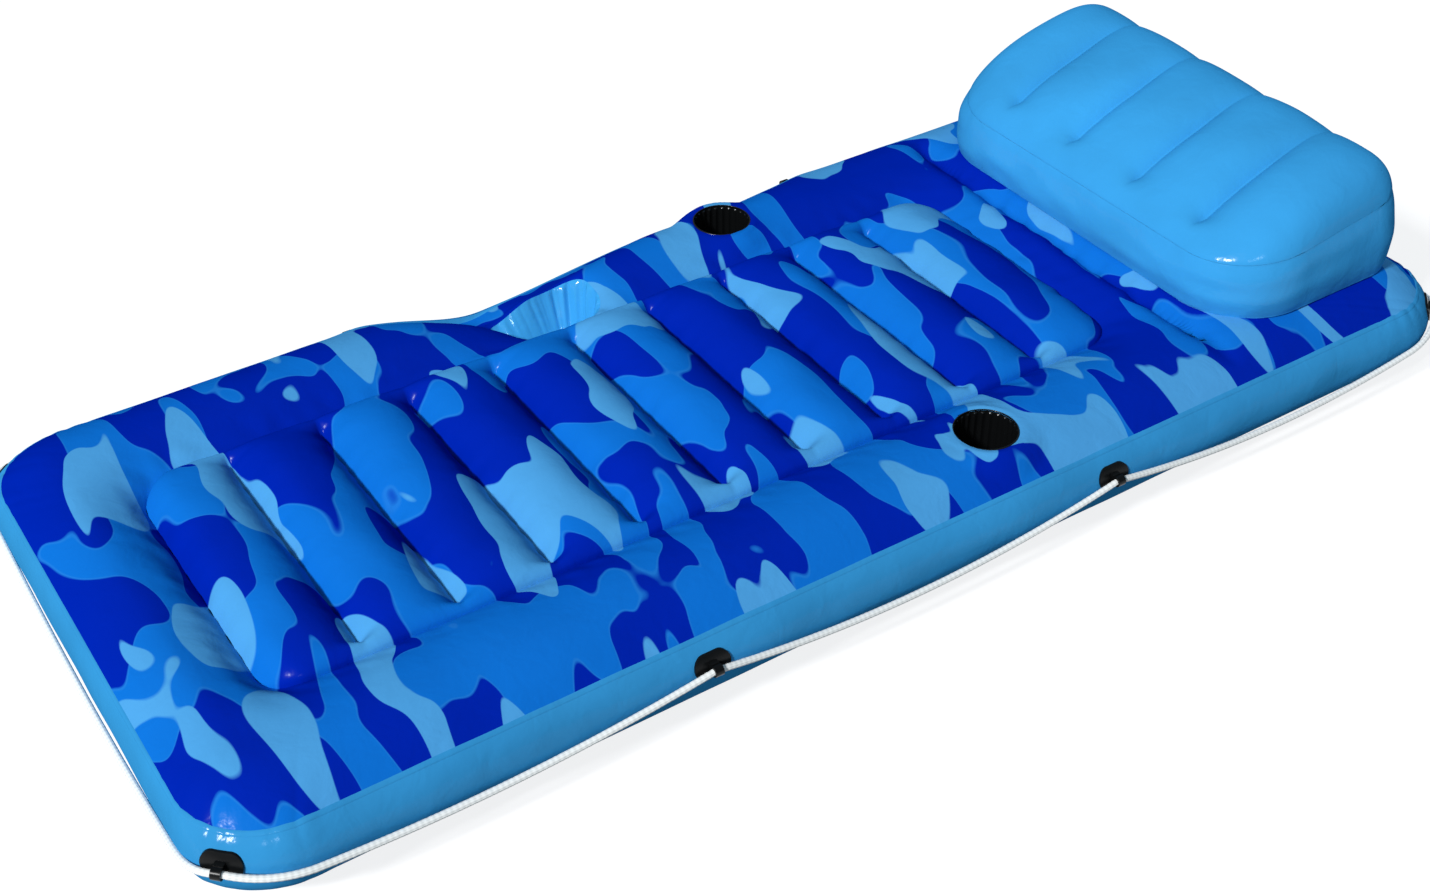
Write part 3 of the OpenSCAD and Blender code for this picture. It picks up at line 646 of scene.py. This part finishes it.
class LOUNGE_OT_deck(bpy.types.Operator):
    """Printed deck between the side band and the lounge panel"""
    bl_idname = "lounge.deck"
    bl_label = "Deck"

    def execute(self, context):
        """Rings drawn in from the band's seam to the lounge's seam, closer together near both."""
        outer, inner, rings = float_loop().points, lounge_loop().points, 62
        t = np.linspace(0, 1, rings)
        share = (0.3*t + 0.7*(0.5 - 0.5*np.cos(np.pi*t)))[None, :, None]
        xy = outer[:, None]*(1 - share) + inner[:, None]*share
        x, y, hidden = pull_to_holes(xy[..., 0], xy[..., 1])
        z = deck_shape(x, y, seam_wave()[:, None])
        slid = well_slide(x, y)
        y, z = draw_in(x, y, z)
        faces = quads(len(outer), rings, True)
        keep = ~hidden.ravel()[faces].all(1)
        put("deck_skin", [(np.stack([slid, y, z], -1), faces[keep])], printed_film(),
            ["deck_sheet", "well_panel"])
        return {"FINISHED"}


class LOUNGE_OT_lounge(bpy.types.Operator):
    """Lie-on panel of ten air tubes"""
    bl_idname = "lounge.lounge"
    bl_label = "Lounge panel"

    def execute(self, context):
        """Height over a grid: seam + rise x crown across each tube x a fall to the side seams. The welds
        between the tubes sink below the seam and lean to the foot, fade out before the sides, and carry
        their own puckers."""
        s = sizes()
        n, m = s.tubes*34 + 1, 129
        u = np.linspace(0, s.tubes, n)[:, None]
        v = np.sin(np.linspace(-1, 1, m)*1.35)/np.sin(1.35)
        x = -s.lounge_length + u*2*s.lounge_length/s.tubes + 0*v
        x -= s.weld_shift*(1 - (2*u/s.tubes - 1)**8)
        y = v*half_at(x, s.lounge_length, s.lounge_width, s.lounge_corner)
        part = u - np.floor(np.minimum(u, s.tubes - 1e-6)) + 0*v
        tube = np.minimum(np.floor(u), s.tubes - 1) + 0*v
        end = ((tube == 0) & (part < 0.5)) | ((tube == s.tubes - 1) & (part >= 0.5))
        side = s.lounge_width - np.abs(y)
        channel = np.where(end, 1.0, ease(0.010, 0.036, side + 0.005*np.sin(7.3*np.round(u) + np.sign(y))))
        rise = crown(part)
        fall = (1 - np.abs(v)**6)**0.5
        low = (1 - channel)*0.72*s.tube_rise - channel*s.weld_sink*~end
        z = s.lounge_seam + fall*(s.tube_rise*rise + (1 - rise)*low)
        z -= s.foot_trench*foot_dip(x + s.lounge_x)*(1 - fall*rise)
        weld = np.round(u) + 0*v
        pucker = slack(y, 0.6*weld, 0.034, 23)
        z += 0.0017*pucker*np.exp(-np.abs(u - weld)/0.11)*fall*channel
        z += 0.0009*slack(x, y, 0.10, 29)*fall*rise
        put("lounge_skin", [(np.stack([x + s.lounge_x, y, z], -1), quads(n, m))], printed_film(),
            ["lounge_panel"])
        return {"FINISHED"}


def band_at(angle, wave):
    """Points of the side band: a circular arc from the low seam out to its crest and in to the high
    seam, carried round the float, with the seams' puckers dying away over 22 mm of film. Across the foot
    end it bulges half as far. Gives the points, the angle of the seams and the arc's radius."""
    s = sizes()
    points, out, run = float_loop()[:3]
    half, bulge = (BAND[1].z - BAND[0].z)/2, BAND[1].x - s.half_length
    radius = (half*half + bulge*bulge)/(2*bulge)
    most = np.arcsin(half/radius)
    reach = radius*np.cos(angle) - radius + bulge
    lift = (BAND[0].z + BAND[1].z)/2 + radius*np.sin(angle)
    top = np.exp(-(most - angle)*radius/0.022)
    low = np.exp(-(most + angle)*radius/0.022)
    dent = 0.0011*slack(run[:, None]*0.5, angle[None]*radius, 0.07, 31)*np.cos(angle*np.pi/2/most)**2
    move = wave[:, None]*(top + 0.8*low) + dent
    xy = points[:, None] + out[:, None]*(reach + move*np.cos(angle)*0.6)[..., None]
    x, y = xy[..., 0], xy[..., 1]
    z = lift + wave[:, None]*(0.8*top - 0.4*low)
    y, z = draw_in(x, y, z)
    x = x + 0.5*np.maximum(0, -s.half_length - x)*foot_flat(y)
    return np.stack([x, y, z], -1), most, radius


class LOUNGE_OT_band(bpy.types.Operator):
    """Side band and the flattened welds along its two seams"""
    bl_idname = "lounge.band"
    bl_label = "Side band"

    def execute(self, context):
        """The band is an arc carried round the outline; each weld is a low ridge over 7 mm of film."""
        weld, wave = sizes().weld, seam_wave()
        _, most, radius = band_at(np.zeros(1), wave)
        rows = 30
        grid = band_at(most*np.sin(np.linspace(-1, 1, rows)*np.pi/2), wave)[0]
        n = len(grid)
        faces = open_at("valve_base", 0.032, grid, quads(n, rows, True))
        put("band_skin", [(grid, faces)], band_film_painted_shade(), ["side_band"])
        points, out = float_loop()[:2]
        e = np.linspace(0, 1, 5)
        # the band's half of the top weld rises towards the seam, the deck's half falls away from it
        up = band_at(most - (1 - e)*weld/2/radius, wave)[0]
        xy = points[:, None] - out[:, None]*(e[1:]*weld/2)[None, :, None]
        x, y = xy[..., 0], xy[..., 1]
        y, z = draw_in(x, y, deck_shape(x, y, wave[:, None]))
        top = np.concatenate([up, np.stack([x, y, z], -1)], 1)
        under = band_at(-most + e*weld/2/radius, wave)[0]
        xy = points[:, None] - out[:, None]*((1 - e[:-1])*weld/2)[None, :, None]
        low = np.concatenate([xy, base_z(xy[..., 0], xy[..., 1], wave[:, None])[..., None]], -1)
        foot = np.concatenate([low, under], 1)
        rise = 0.0009*np.cos(np.linspace(-1, 1, 9)*np.pi/2)**0.5
        strips = []
        for strip, flat, tall in ((top, 0.6, 0.8), (foot, 0.8, -0.6)):
            lean = np.concatenate([out*flat, np.full((n, 1), tall)], 1)
            strips.append((strip + lean[:, None]*rise[None, :, None], quads(n, 9, True)))
        put("seam_welds", strips, band_film_painted_shade())
        return {"FINISHED"}


def base_z(x, y, wave):
    """Underside: flat on the ground, rolled up to the low seam on a circle over the edge roll."""
    s = sizes()
    o = np.minimum(from_edge(x, y), s.edge_roll)
    low = BAND[0].z
    radius = (s.edge_roll**2 + low**2)/(2*low)
    return radius - np.sqrt(radius**2 - (s.edge_roll - o)**2) - 0.4*wave*np.exp(-o/0.02)


class LOUNGE_OT_base(bpy.types.Operator):
    """Underside and the inner webs"""
    bl_idname = "lounge.base"
    bl_label = "Base and webs"

    def execute(self, context):
        """The underside is rings from the lounge's outline out to the low seam, and a field of tubes
        whose welds lie 6 mm up. The webs stand on it."""
        s = sizes()
        outer, inner, rings = float_loop().points, lounge_loop().points, 40
        t = np.linspace(0, 1, rings)
        share = (0.5 - 0.5*np.cos(np.pi*t))[None, :, None]
        xy = inner[:, None]*(1 - share) + outer[:, None]*share
        x, y = xy[..., 0], xy[..., 1]
        rise = 0.006
        z = base_z(x, y, seam_wave()[:, None]) + rise*np.exp(-from_lounge(x, y)/0.012)
        rim = (np.stack([x, y, z], -1), quads(len(outer), rings, True))
        rows, cols = s.tubes*16 + 1, 49
        u = np.linspace(s.tubes, 0, rows)[:, None]
        v = np.sin(np.linspace(-1, 1, cols)*1.3)/np.sin(1.3)
        x = -s.lounge_length + u*2*s.lounge_length/s.tubes + 0*v
        y = v*half_at(x, s.lounge_length, s.lounge_width, s.lounge_corner)
        edge = 1 - (1 - np.abs(v)**8)**0.5
        part = u - np.floor(np.minimum(u, s.tubes - 1e-6))
        z = rise*(np.maximum(1 - crown(part), 0)*(1 - edge) + edge)
        field = (np.stack([x + s.lounge_x, y, z], -1), quads(rows, cols))
        put("base_skin", [rim, field], sky_film(), ["base_sheet"])
        for node in sorted(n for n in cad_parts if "_web" in n or n == "chamber_wall"):
            web(node)
        return {"FINISHED"}


def web(node):
    """One inner film over its CAD box: a grid bowed by half a sine of 3 mm both ways between its welds,
    or, for the chamber wall, the lounge's outline carried up from base to panel."""
    lo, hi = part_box(node)
    rows, columns = 41, 9
    w, k = np.linspace(0, 1, columns)[None, :], np.linspace(0, 1, rows)[:, None]
    bow = 0.003*np.sin(np.pi*w)*np.sin(np.pi*k)
    faces = quads(rows, columns)
    if node == "chamber_wall":
        loop = lounge_loop((60, 24, 10)).points
        z = lo.z + 0.007 + (hi.z - lo.z - 0.030)*w
        grid = np.concatenate([np.repeat(loop[:, None], columns, 1),
                               np.repeat(z[..., None], len(loop), 0)], -1)
        faces = quads(len(loop), columns, True)
    elif hi.x - lo.x < hi.y - lo.y:
        z = lo.z + 0.006 + (hi.z - lo.z - 0.010 - sizes().weld_sink)*w
        grid = np.stack([(lo.x + hi.x)/2 + bow, lo.y + (hi.y - lo.y)*k + 0*w, z + 0*k], -1)
    else:
        y = (lo.y + hi.y)/2
        front, back = pillow_edges(np.float64(y))
        x = front + 0.03 + (min(hi.x, back - 0.02) - front - 0.03)*k
        grid = np.stack([x + 0*w, y + bow, lo.z + (pillow_z(x, y) - 0.003 - lo.z)*w], -1)
    put(node + "_film", [(grid, faces)], clear_film(), [node])


def pillow_seam(x):
    """Height of the seam between the pillow's wall and its top: a slope of 62 mm from front to back."""
    front, back = PILLOW_SEAM
    return front + (back - front)*(x - PILLOW[0].x)/(PILLOW[1].x - PILLOW[0].x)


def pillow_loop(t):
    """Outline of the pillow's wall at share t of its height, with round front corners and closer back
    ones: it bulges 40t(1-t) mm, and leans in evenly with t."""
    s = sizes()
    swell = 0.040*t*(1 - t)
    x0, x1 = PILLOW[0].x + LEAN_FRONT*t - swell, PILLOW[1].x - LEAN_BACK*t + swell
    front, back = s.pillow_front + swell, s.pillow_back + swell
    half, middle = pillow_ends()
    return outline((x1 - x0)/2, half + LEAN_END*(1 - t) + swell, (back, front, front, back), 90, 170, 40,
                   ((x0 + x1)/2, middle))


def pillow_ends():
    """Half width of the pillow's top and the middle of it across the float."""
    drawn = sizes().pillow_shift
    return PILLOW[1].y - LEAN_END - drawn/2, -drawn/2


def pillow_edges(y):
    """Where the top's outline lies at the front and at the back, at y across the float."""
    s = sizes()
    half, middle = pillow_ends()
    d = half - np.abs(y - middle)
    ends = []
    for r in (s.pillow_front, s.pillow_back):
        ends.append(r - np.sqrt(np.maximum(r*r - np.maximum(r - d, 0)**2, 0)))
    return PILLOW[0].x + LEAN_FRONT + ends[0], PILLOW[1].x - LEAN_BACK - ends[1]


def pillow_z(x, y):
    """Top of the pillow: from its seam up to a crest that slopes from front to back, as a superellipse
    that is rounder at the front, times one across the float. Channels between the lobes are cut from
    that: a sharp V that dies away by 1/e over 18 mm and an even square over the lobe, a quarter as deep
    at the back and dying away before the front."""
    s = sizes()
    half, middle = pillow_ends()
    front, back = pillow_edges(y)
    side = (y - middle)/half
    v = np.clip((2*x - front - back)/(back - front), -1, 1)
    body = np.maximum(1 - np.abs(v)**np.where(v < 0, 3.2, 5.2), 0)
    body = (body*np.maximum(1 - np.abs(side)**np.where(side > 0, 12, 13), 0))**0.72
    slope = np.clip((x - PILLOW[0].x)/(PILLOW[1].x - 0.06 - PILLOW[0].x), 0, 1.1)
    low, high = PILLOW_CREST
    crest = low + 0.018*y + (high - low)*np.sin(slope*np.pi/2)**1.2
    u = np.clip((side + 1)/2*s.pillow_lobes, 0, s.pillow_lobes - 1e-9)
    part = u - np.floor(u)
    end = ((u < 0.5) | (u > s.pillow_lobes - 0.5))
    off = (0.5 - np.abs(part - 0.5))*2*half/s.pillow_lobes
    cut = np.where(end, 0, 0.55*np.exp(-off/0.018) + 0.45*(2*part - 1)**2)
    cut = cut*ease(0.018, 0.065, x - front)*(1 - 0.76*ease(0.16, 0.35, x - front))
    cut = cut*(1 - np.abs(v)**22)
    return pillow_seam(x) + (crest - pillow_seam(x))*body - s.pillow_rise*cut*np.sqrt(body)


class LOUNGE_OT_pillow(bpy.types.Operator):
    """Raised pillow with its five lobes"""
    bl_idname = "lounge.pillow"
    bl_label = "Pillow"

    def execute(self, context):
        """The wall is the pillow's outline carried up from the deck, at height shares t. The top is its
        height over a grid with a row along every channel, closer together at the front and the back."""
        s = sizes()
        rows = 40
        t = 0.5 - 0.5*np.cos(np.pi*np.linspace(0, 1, rows))
        loops = [pillow_loop(k) for k in t]
        x, y = np.moveaxis(np.stack([loop.points for loop in loops], 1), -1, 0)
        edge, out, run, total, bend = loops[0]
        t = t[None]
        base = PILLOW[0].z + 0.0005
        z = base + (pillow_seam(x) - base)*t
        short = np.abs(ripples(run, total, 0.05, 0.09, 41))[:, None] - 0.7
        wave = (0.35 + 0.65*bend[:, None])*short
        seam = np.exp(-t/0.12)*ease(0, 0.03, t) + np.exp(-(1 - t)/0.12)*ease(1, 0.97, t)
        move = 0.0009*wave*seam + 0.0008*slack(run[:, None] + 0*t, 0.30*t + 0*x, 0.16, 43)*np.sin(np.pi*t)
        x, y = x + out[:, :1]*move, y + out[:, 1:]*move
        put("pillow_wall", [(np.stack([x, y, z], -1), quads(len(run), rows, True))], sky_film(),
            ["pillow_band"])
        n, m = 60*s.pillow_lobes + 1, 121
        half, middle = pillow_ends()
        y = middle + half*np.linspace(-1, 1, n)[:, None] + np.zeros((1, m))
        front, back = pillow_edges(y)
        x = (front + back)/2 - (back - front)/2*np.sin(np.linspace(-1, 1, m)*np.pi/2)[None]
        inner = ease(0.0, 0.05, x - front)*ease(0.0, 0.04, back - x)
        inner = inner*ease(0.0, 0.05, half - np.abs(y - middle))
        z = pillow_z(x, y) + 0.0003 + 0.0007*slack(x, y, 0.13, 53)*inner
        top = put("pillow_top_skin", [(np.stack([x, y, z], -1), quads(n, m))], sky_film(),
                  ["pillow_top"])
        mid = edge.mean(0)
        flat = mid + (edge[:, None] - mid)*np.linspace(1, 0, 12)[None, :, None]
        grid = np.concatenate([flat, np.full((*flat.shape[:2], 1), base)], -1)
        put("pillow_floor", [(grid, quads(len(edge), 12, True)[:, ::-1])], sky_film(),
            ["pillow_base"], close=True)
        return {"FINISHED"}


class LOUNGE_OT_well(bpy.types.Operator):
    """Ice well's liner"""
    bl_idname = "lounge.well"
    bl_label = "Ice well"

    def execute(self, context):
        """The well's outline carried down from the deck's lip and in over a rounded foot to the middle
        of the floor, with pleats in the wall that are deepest a quarter of the way down, upright and
        strong at the head end, and slanted and faint along the sides. The walls lean in towards the floor,
        by 45 mm on the far side and 30 at the head end, and the foot end runs back under the deck."""
        wx, wy = well_middle()
        a, b = (WELL[1].x - WELL[0].x)/2, (WELL[1].y - WELL[0].y)/2
        loop, out, run, total, _ = outline(a, b, WELL_CORNER, 70, 26, 34, (wx, wy))
        rows, rings = 34, 16
        rim_y, top = draw_in(loop[:, 0], loop[:, 1], deck_shape(loop[:, 0], loop[:, 1], 0.0*run))
        top, pull = top[:, None], (loop[:, 1] - rim_y)[:, None]
        floor = WELL[0].z + 0.003
        t = np.linspace(0, 1, rows)[None, :]
        foot = 1 - np.sqrt(np.maximum(0, 1 - np.clip((t - 0.75)/0.25, 0, 1)**2))
        inset = 0.010*t**1.5 + 0.022*foot
        head = ease(wx + 0.02, WELL[1].x - 0.02, loop[:, 0])[:, None]
        lean = run[:, None] + 0.03*t*(1 - head)
        pleat = (0.0016 + 0.0024*head)*(np.abs(ripples(lean, total, 0.036, 0.080, 61, 8)) - 0.6)
        fold = 0.0007*ripples(lean, total, 0.014, 0.030, 67)*(0.4 + head)
        inset = inset + np.sin(np.pi*t**0.5)**0.7*(pleat + fold)
        xy = loop[:, None] - out[:, None]*inset[..., None]
        along, across = (xy[..., 0] - WELL[0].x)/(2*a), (xy[..., 1] - WELL[0].y)/(2*b)
        slide = well_slide(loop[:, 0], loop[:, 1]) - loop[:, 0]
        xy[..., 0] += slide[:, None]*(1 - 0.65*t) - 0.030*t*along
        xy[..., 1] -= 0.045*t*across
        xy[..., 1] -= pull*(1 - t)**2
        z = top + (floor - top)*t
        k = np.linspace(0, 1, rings)[None, 1:]
        last = xy[:, -1:]
        flat = last + (last.mean(0) - last)*k[..., None]
        dip = floor + 0.0012*slack(flat[..., 0], flat[..., 1], 0.05, 71)*np.sin(np.pi*k)
        wall, ground = (np.concatenate([p, h[..., None]], -1) for p, h in ((xy, z), (flat, dip)))
        faces = quads(len(loop), rows + rings - 1, True)
        put("well_skin", [(np.concatenate([wall, ground], 1), faces)], liner_film(),
            ["well_liner"], close=True)
        return {"FINISHED"}


class LOUNGE_OT_cups(bpy.types.Operator):
    """Two black cup holders with ribbed walls"""
    bl_idname = "lounge.cups"
    bl_label = "Cup holders"

    def execute(self, context):
        """A profile turned about the cup's axis: out under the floor, up the outside, over a rolled
        rim and down a wall whose radius swings 2.2 mm with a cosine of the ribs, to the floor. The ribs
        slope in from 3 to 6 mm under the rim."""
        s = sizes()
        n = s.cup_ribs*14
        angle = np.arange(n)/n*TAU
        bore, shell, rim, foot = CUP_BORE, CUP_RADIUS, CUP[1].z, CUP[0].z
        floor = foot + CUP_FLOOR
        roll = np.linspace(0, np.pi, 9)
        drop = np.concatenate([np.linspace(0.0030, 0.0066, 7), np.linspace(0.0110, rim - floor, 19)])
        r = np.concatenate([[0, shell*0.5, shell - 0.002, shell, shell],
                            (shell + bore)/2 + 0.0004 + 0.0022*np.cos(roll),
                            np.full(len(drop), bore), [bore - 0.004, bore*0.6, bore*0.3, 0]])
        z = np.concatenate([[foot, foot, foot, foot + 0.002, rim - 0.003],
                            rim - 0.0006 + 0.0018*np.sin(roll), rim - drop, [floor]*4])
        ribbed = np.concatenate([np.zeros(9), np.linspace(0, 1, 6)[1:],
                                 ease(0.0, 0.004, rim - floor - drop), np.zeros(4)])
        rib = ((0.5 - 0.5*np.cos(angle*s.cup_ribs))**0.6)[:, None]
        started = np.concatenate([np.zeros(14), ease(0.0030, 0.0062, drop), np.ones(4)])[None]
        reach = r[None] + CUP_RIB*ribbed[None]*(rib*started + 1 - started)
        for (cx, cy), node in zip(cup_middles(), ("cup_near", "cup_far")):
            grid = np.stack([cx + reach*np.cos(angle)[:, None], cy + reach*np.sin(angle)[:, None],
                             np.repeat(z[None], n, 0)], -1)
            plastic = black_moulding("black_pvc_moulding", 0.0012, 0.20, 0.32, 0.00006)
            put(node + "_moulding", [(grid, quads(n, len(r), True))], plastic, [node], close=True)
        return {"FINISHED"}


def rope_line():
    """The grab line's middle: a rounded rectangle round the float, held at eight patches, sagging
    between each two by the sag x (span/750 mm) squared x 4w(1-w) at share w of the span, and a fifth less
    in the first. It lies 19 mm closer in across the foot end and 18 mm at the pinch beside the well, and
    it starts and ends inside the sleeve on the well's side. Gives points 3 mm apart and their spacing."""
    s = sizes()
    hub = np.array([s.half_length - s.corner, s.half_width - s.corner])
    reach = s.corner + (BAND[1].x - s.half_length) + 0.003 + s.rope/2 + 0.0015
    arc, lx, ly = np.pi/2*reach, 2*hub[0], 2*hub[1]
    total = 2*lx + 2*ly + 4*arc
    near, far = arc/2 + lx/2, 2.5*arc + 1.5*lx + ly
    held = np.array([0, near + NEAR_PATCHES[0], near + NEAR_PATCHES[1], arc + lx, 2*arc + lx + ly,
                     far - FAR_PATCHES[1], far - FAR_PATCHES[0], 3*arc + 2*lx + ly, total])
    sleeve = far + 0.037
    d = (sleeve + np.linspace(0.009, total - 0.009, int(total/0.003))) % total
    k = np.clip(np.searchsorted(held, d, side="right") - 1, 0, 7)
    span = held[k + 1] - held[k]
    w = (d - held[k])/span
    z = PATCH_Z - s.rope_sag*(span/0.75)**2*4*w*(1 - w)*np.where(k == 0, 0.8, 1.0)
    u = (d + arc/2) % total
    ends = np.cumsum([arc, lx, arc, ly, arc, lx, arc, ly])
    leg = np.searchsorted(ends, u, side="right")
    into = u - np.concatenate([[0], ends])[leg]
    corner = hub*np.array([(-1, -1), (1, -1), (1, 1), (-1, 1)])[leg//2 % 4]
    start = np.pi + leg//2*np.pi/2
    turned = np.where(leg % 2 == 0, start + into/reach, start + np.pi/2)
    xy = corner + reach*np.stack([np.cos(turned), np.sin(turned)], 1)
    ahead = np.stack([-np.sin(turned), np.cos(turned)], 1)
    xy += np.where(leg % 2 == 1, into, 0)[:, None]*ahead
    xy[:, 0] += 0.019*foot_flat(xy[:, 1])*(xy[:, 0] < -s.half_length)
    wx = well_middle()[0]
    drawn = 0.018*pinch(xy[:, 0])*(1 - ease(wx - 0.02, wx + 0.10, xy[:, 0]))
    xy[:, 1] -= drawn*(xy[:, 1] > s.half_width)
    line = np.concatenate([xy, z[:, None]], 1)
    return line, np.linalg.norm(np.diff(line, axis=0), axis=1)


class LOUNGE_OT_rope(bpy.types.Operator):
    """Braided grab line"""
    bl_idname = "lounge.rope"
    bl_label = "Grab line"

    def execute(self, context):
        """A tube of 14 sides round the rope's line, its radius swung 0.2 mm by the two crossing lays."""
        s = sizes()
        line, step = rope_line()
        run = np.concatenate([[0], np.cumsum(step)])
        ahead = unit(np.gradient(line, axis=0))
        out = unit(np.cross(ahead, (0, 0, 1)))
        up = np.cross(out, ahead)
        sides = 14
        share = np.arange(sides + 1)/sides
        angle = share*TAU
        wound = TAU*run[:, None]/BRAID
        lay = np.sin(wound + 4*angle)*np.sin(wound - 4*angle)
        radius = s.rope/2 - 0.0002 + 0.0002*lay
        round_ = np.cos(angle)[:, None]*out[:, None] + np.sin(angle)[:, None]*up[:, None]
        grid = line[:, None] + radius[..., None]*round_
        faces = quads(len(line), sides + 1)
        uv = np.stack([run[:, None] + 0*share, share + 0*run[:, None]], -1).reshape(-1, 2)[faces]
        rope = put("grab_rope", [(grid, faces)], rope_braid(), ["grab_line"], uv=uv)
        return {"FINISHED"}


class LOUNGE_OT_fittings(bpy.types.Operator):
    """Finishes of the patches, the sleeve and the two valves"""
    bl_idname = "lounge.fittings"
    bl_label = "Patches and valves"

    def execute(self, context):
        """The CAD solids keep their shape and take a moulded finish."""
        rubber = black_moulding("black_moulded_rubber", 0.0014, 0.22, 0.36, 0.00015, 0.18)
        plastic = black_moulding("black_moulded_polyethylene", 0.0011, 0.34, 0.46, 0.0001)
        for node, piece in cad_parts.items():
            if node.startswith("rope_patch") or node == "valve_gasket":
                dress = rubber
            elif node in ("rope_sleeve", "valve_base", "valve_insert", "valve_cap", "valve_tether"):
                dress = plastic
            elif node == "stem_flange":
                dress = sky_film()
            elif node in ("valve_disc", "valve_stem", "stem_plug", "stem_flap"):
                dress = clear_film()
            else:
                continue
            piece.data.materials.clear()
            piece.data.materials.append(dress)
        return {"FINISHED"}


def stand(name, data, right, back, place):
    """Puts a camera or a lamp at a place, its back and its right side turned along two unit vectors."""
    item = bpy.data.objects.new(name, data)
    axes = np.stack([right, np.cross(back, right), back, place], 1)
    item.matrix_world = Matrix(np.vstack([axes, [0, 0, 0, 1]]).tolist())
    bpy.context.scene.collection.objects.link(item)
    return item


class LOUNGE_OT_stage(bpy.types.Operator):
    """Camera, floor, lamps and world"""
    bl_idname = "lounge.stage"
    bl_label = "Stage"

    def execute(self, context):
        """The camera has the fitted place and axes. Each lamp faces a point low over the float."""
        scene = context.scene
        scene.view_settings.view_transform = "Standard"
        lens = bpy.data.cameras.new("camera")
        lens.sensor_width, lens.lens = SENSOR_MM, LENS_MM
        lens.clip_end = 200
        ahead = unit(np.array(CAMERA_AHEAD))
        right = unit(np.cross(ahead, CAMERA_UP))
        scene.camera = stand("camera", lens, right, -ahead, CAMERA_PLACE)
        k = np.linspace(-FLOOR_REACH, FLOOR_REACH, 3)
        grid = np.stack([k[:, None] + 0*k, k[None] + 0*k[:, None], 0*k[:, None] + 0*k - 0.0005], -1)
        mesh = bpy.data.meshes.new("floor")
        mesh.from_pydata(grid.reshape(-1, 3).tolist(), [], quads(3, 3).tolist())
        mesh.materials.append(paper())
        floor = bpy.data.objects.new("floor", mesh)
        scene.collection.objects.link(floor)
        for name, place, size, watts, tint, reflected in LAMPS:
            lamp = bpy.data.lights.new(name, "AREA")
            lamp.size, lamp.energy, lamp.color = size, watts, tint
            back = unit(np.array(place) - LAMP_AIM)
            stand(name, lamp, unit(np.cross((0, 0, 1), back)), back, place).visible_glossy = reflected
        world = bpy.data.worlds.new("studio")
        world.use_nodes = True
        tree = world.node_tree
        tree.nodes.clear()
        sky = add(tree, "ShaderNodeBackground", {"Color": (0.62, 0.84, 1.0, 1), "Strength": 0.22})
        add(tree, "ShaderNodeOutputWorld", {"Surface": sky.outputs[0]})
        scene.world = world
        return {"FINISHED"}


class LOUNGE_PT_panel(bpy.types.Panel):
    """Sizes, colours and steps of the pool lounge"""
    bl_idname = "LOUNGE_PT_panel"
    bl_label = "Pool lounge"
    bl_space_type = "VIEW_3D"
    bl_region_type = "UI"
    bl_category = "Pool lounge"

    def draw(self, context):
        for group in (context.scene.lounge_sizes, context.scene.lounge_colours):
            box = self.layout.box()
            for key in group.__annotations__:
                box.prop(group, key)
        for step in STEPS:
            self.layout.operator(step.bl_idname)


STEPS = (LOUNGE_OT_stage, LOUNGE_OT_rope, LOUNGE_OT_deck, LOUNGE_OT_lounge, LOUNGE_OT_band, LOUNGE_OT_base,
         LOUNGE_OT_pillow, LOUNGE_OT_well, LOUNGE_OT_cups, LOUNGE_OT_fittings)
CLASSES = (LoungeSizes, LoungeColours, *STEPS, LOUNGE_PT_panel)


def register():
    for item in CLASSES:
        bpy.utils.register_class(item)
    bpy.types.Scene.lounge_sizes = PointerProperty(type=LoungeSizes)
    bpy.types.Scene.lounge_colours = PointerProperty(type=LoungeColours)


def unregister():
    del bpy.types.Scene.lounge_colours
    del bpy.types.Scene.lounge_sizes
    for item in reversed(CLASSES):
        bpy.utils.unregister_class(item)


def main():
    register()
    bpy.ops.lounge.stage()
    bpy.ops.lounge.rope()
    bpy.ops.lounge.deck()
    bpy.ops.lounge.lounge()
    bpy.ops.lounge.band()
    bpy.ops.lounge.base()
    bpy.ops.lounge.pillow()
    bpy.ops.lounge.well()
    bpy.ops.lounge.cups()
    bpy.ops.lounge.fittings()


if __name__ == "__main__":
    main()
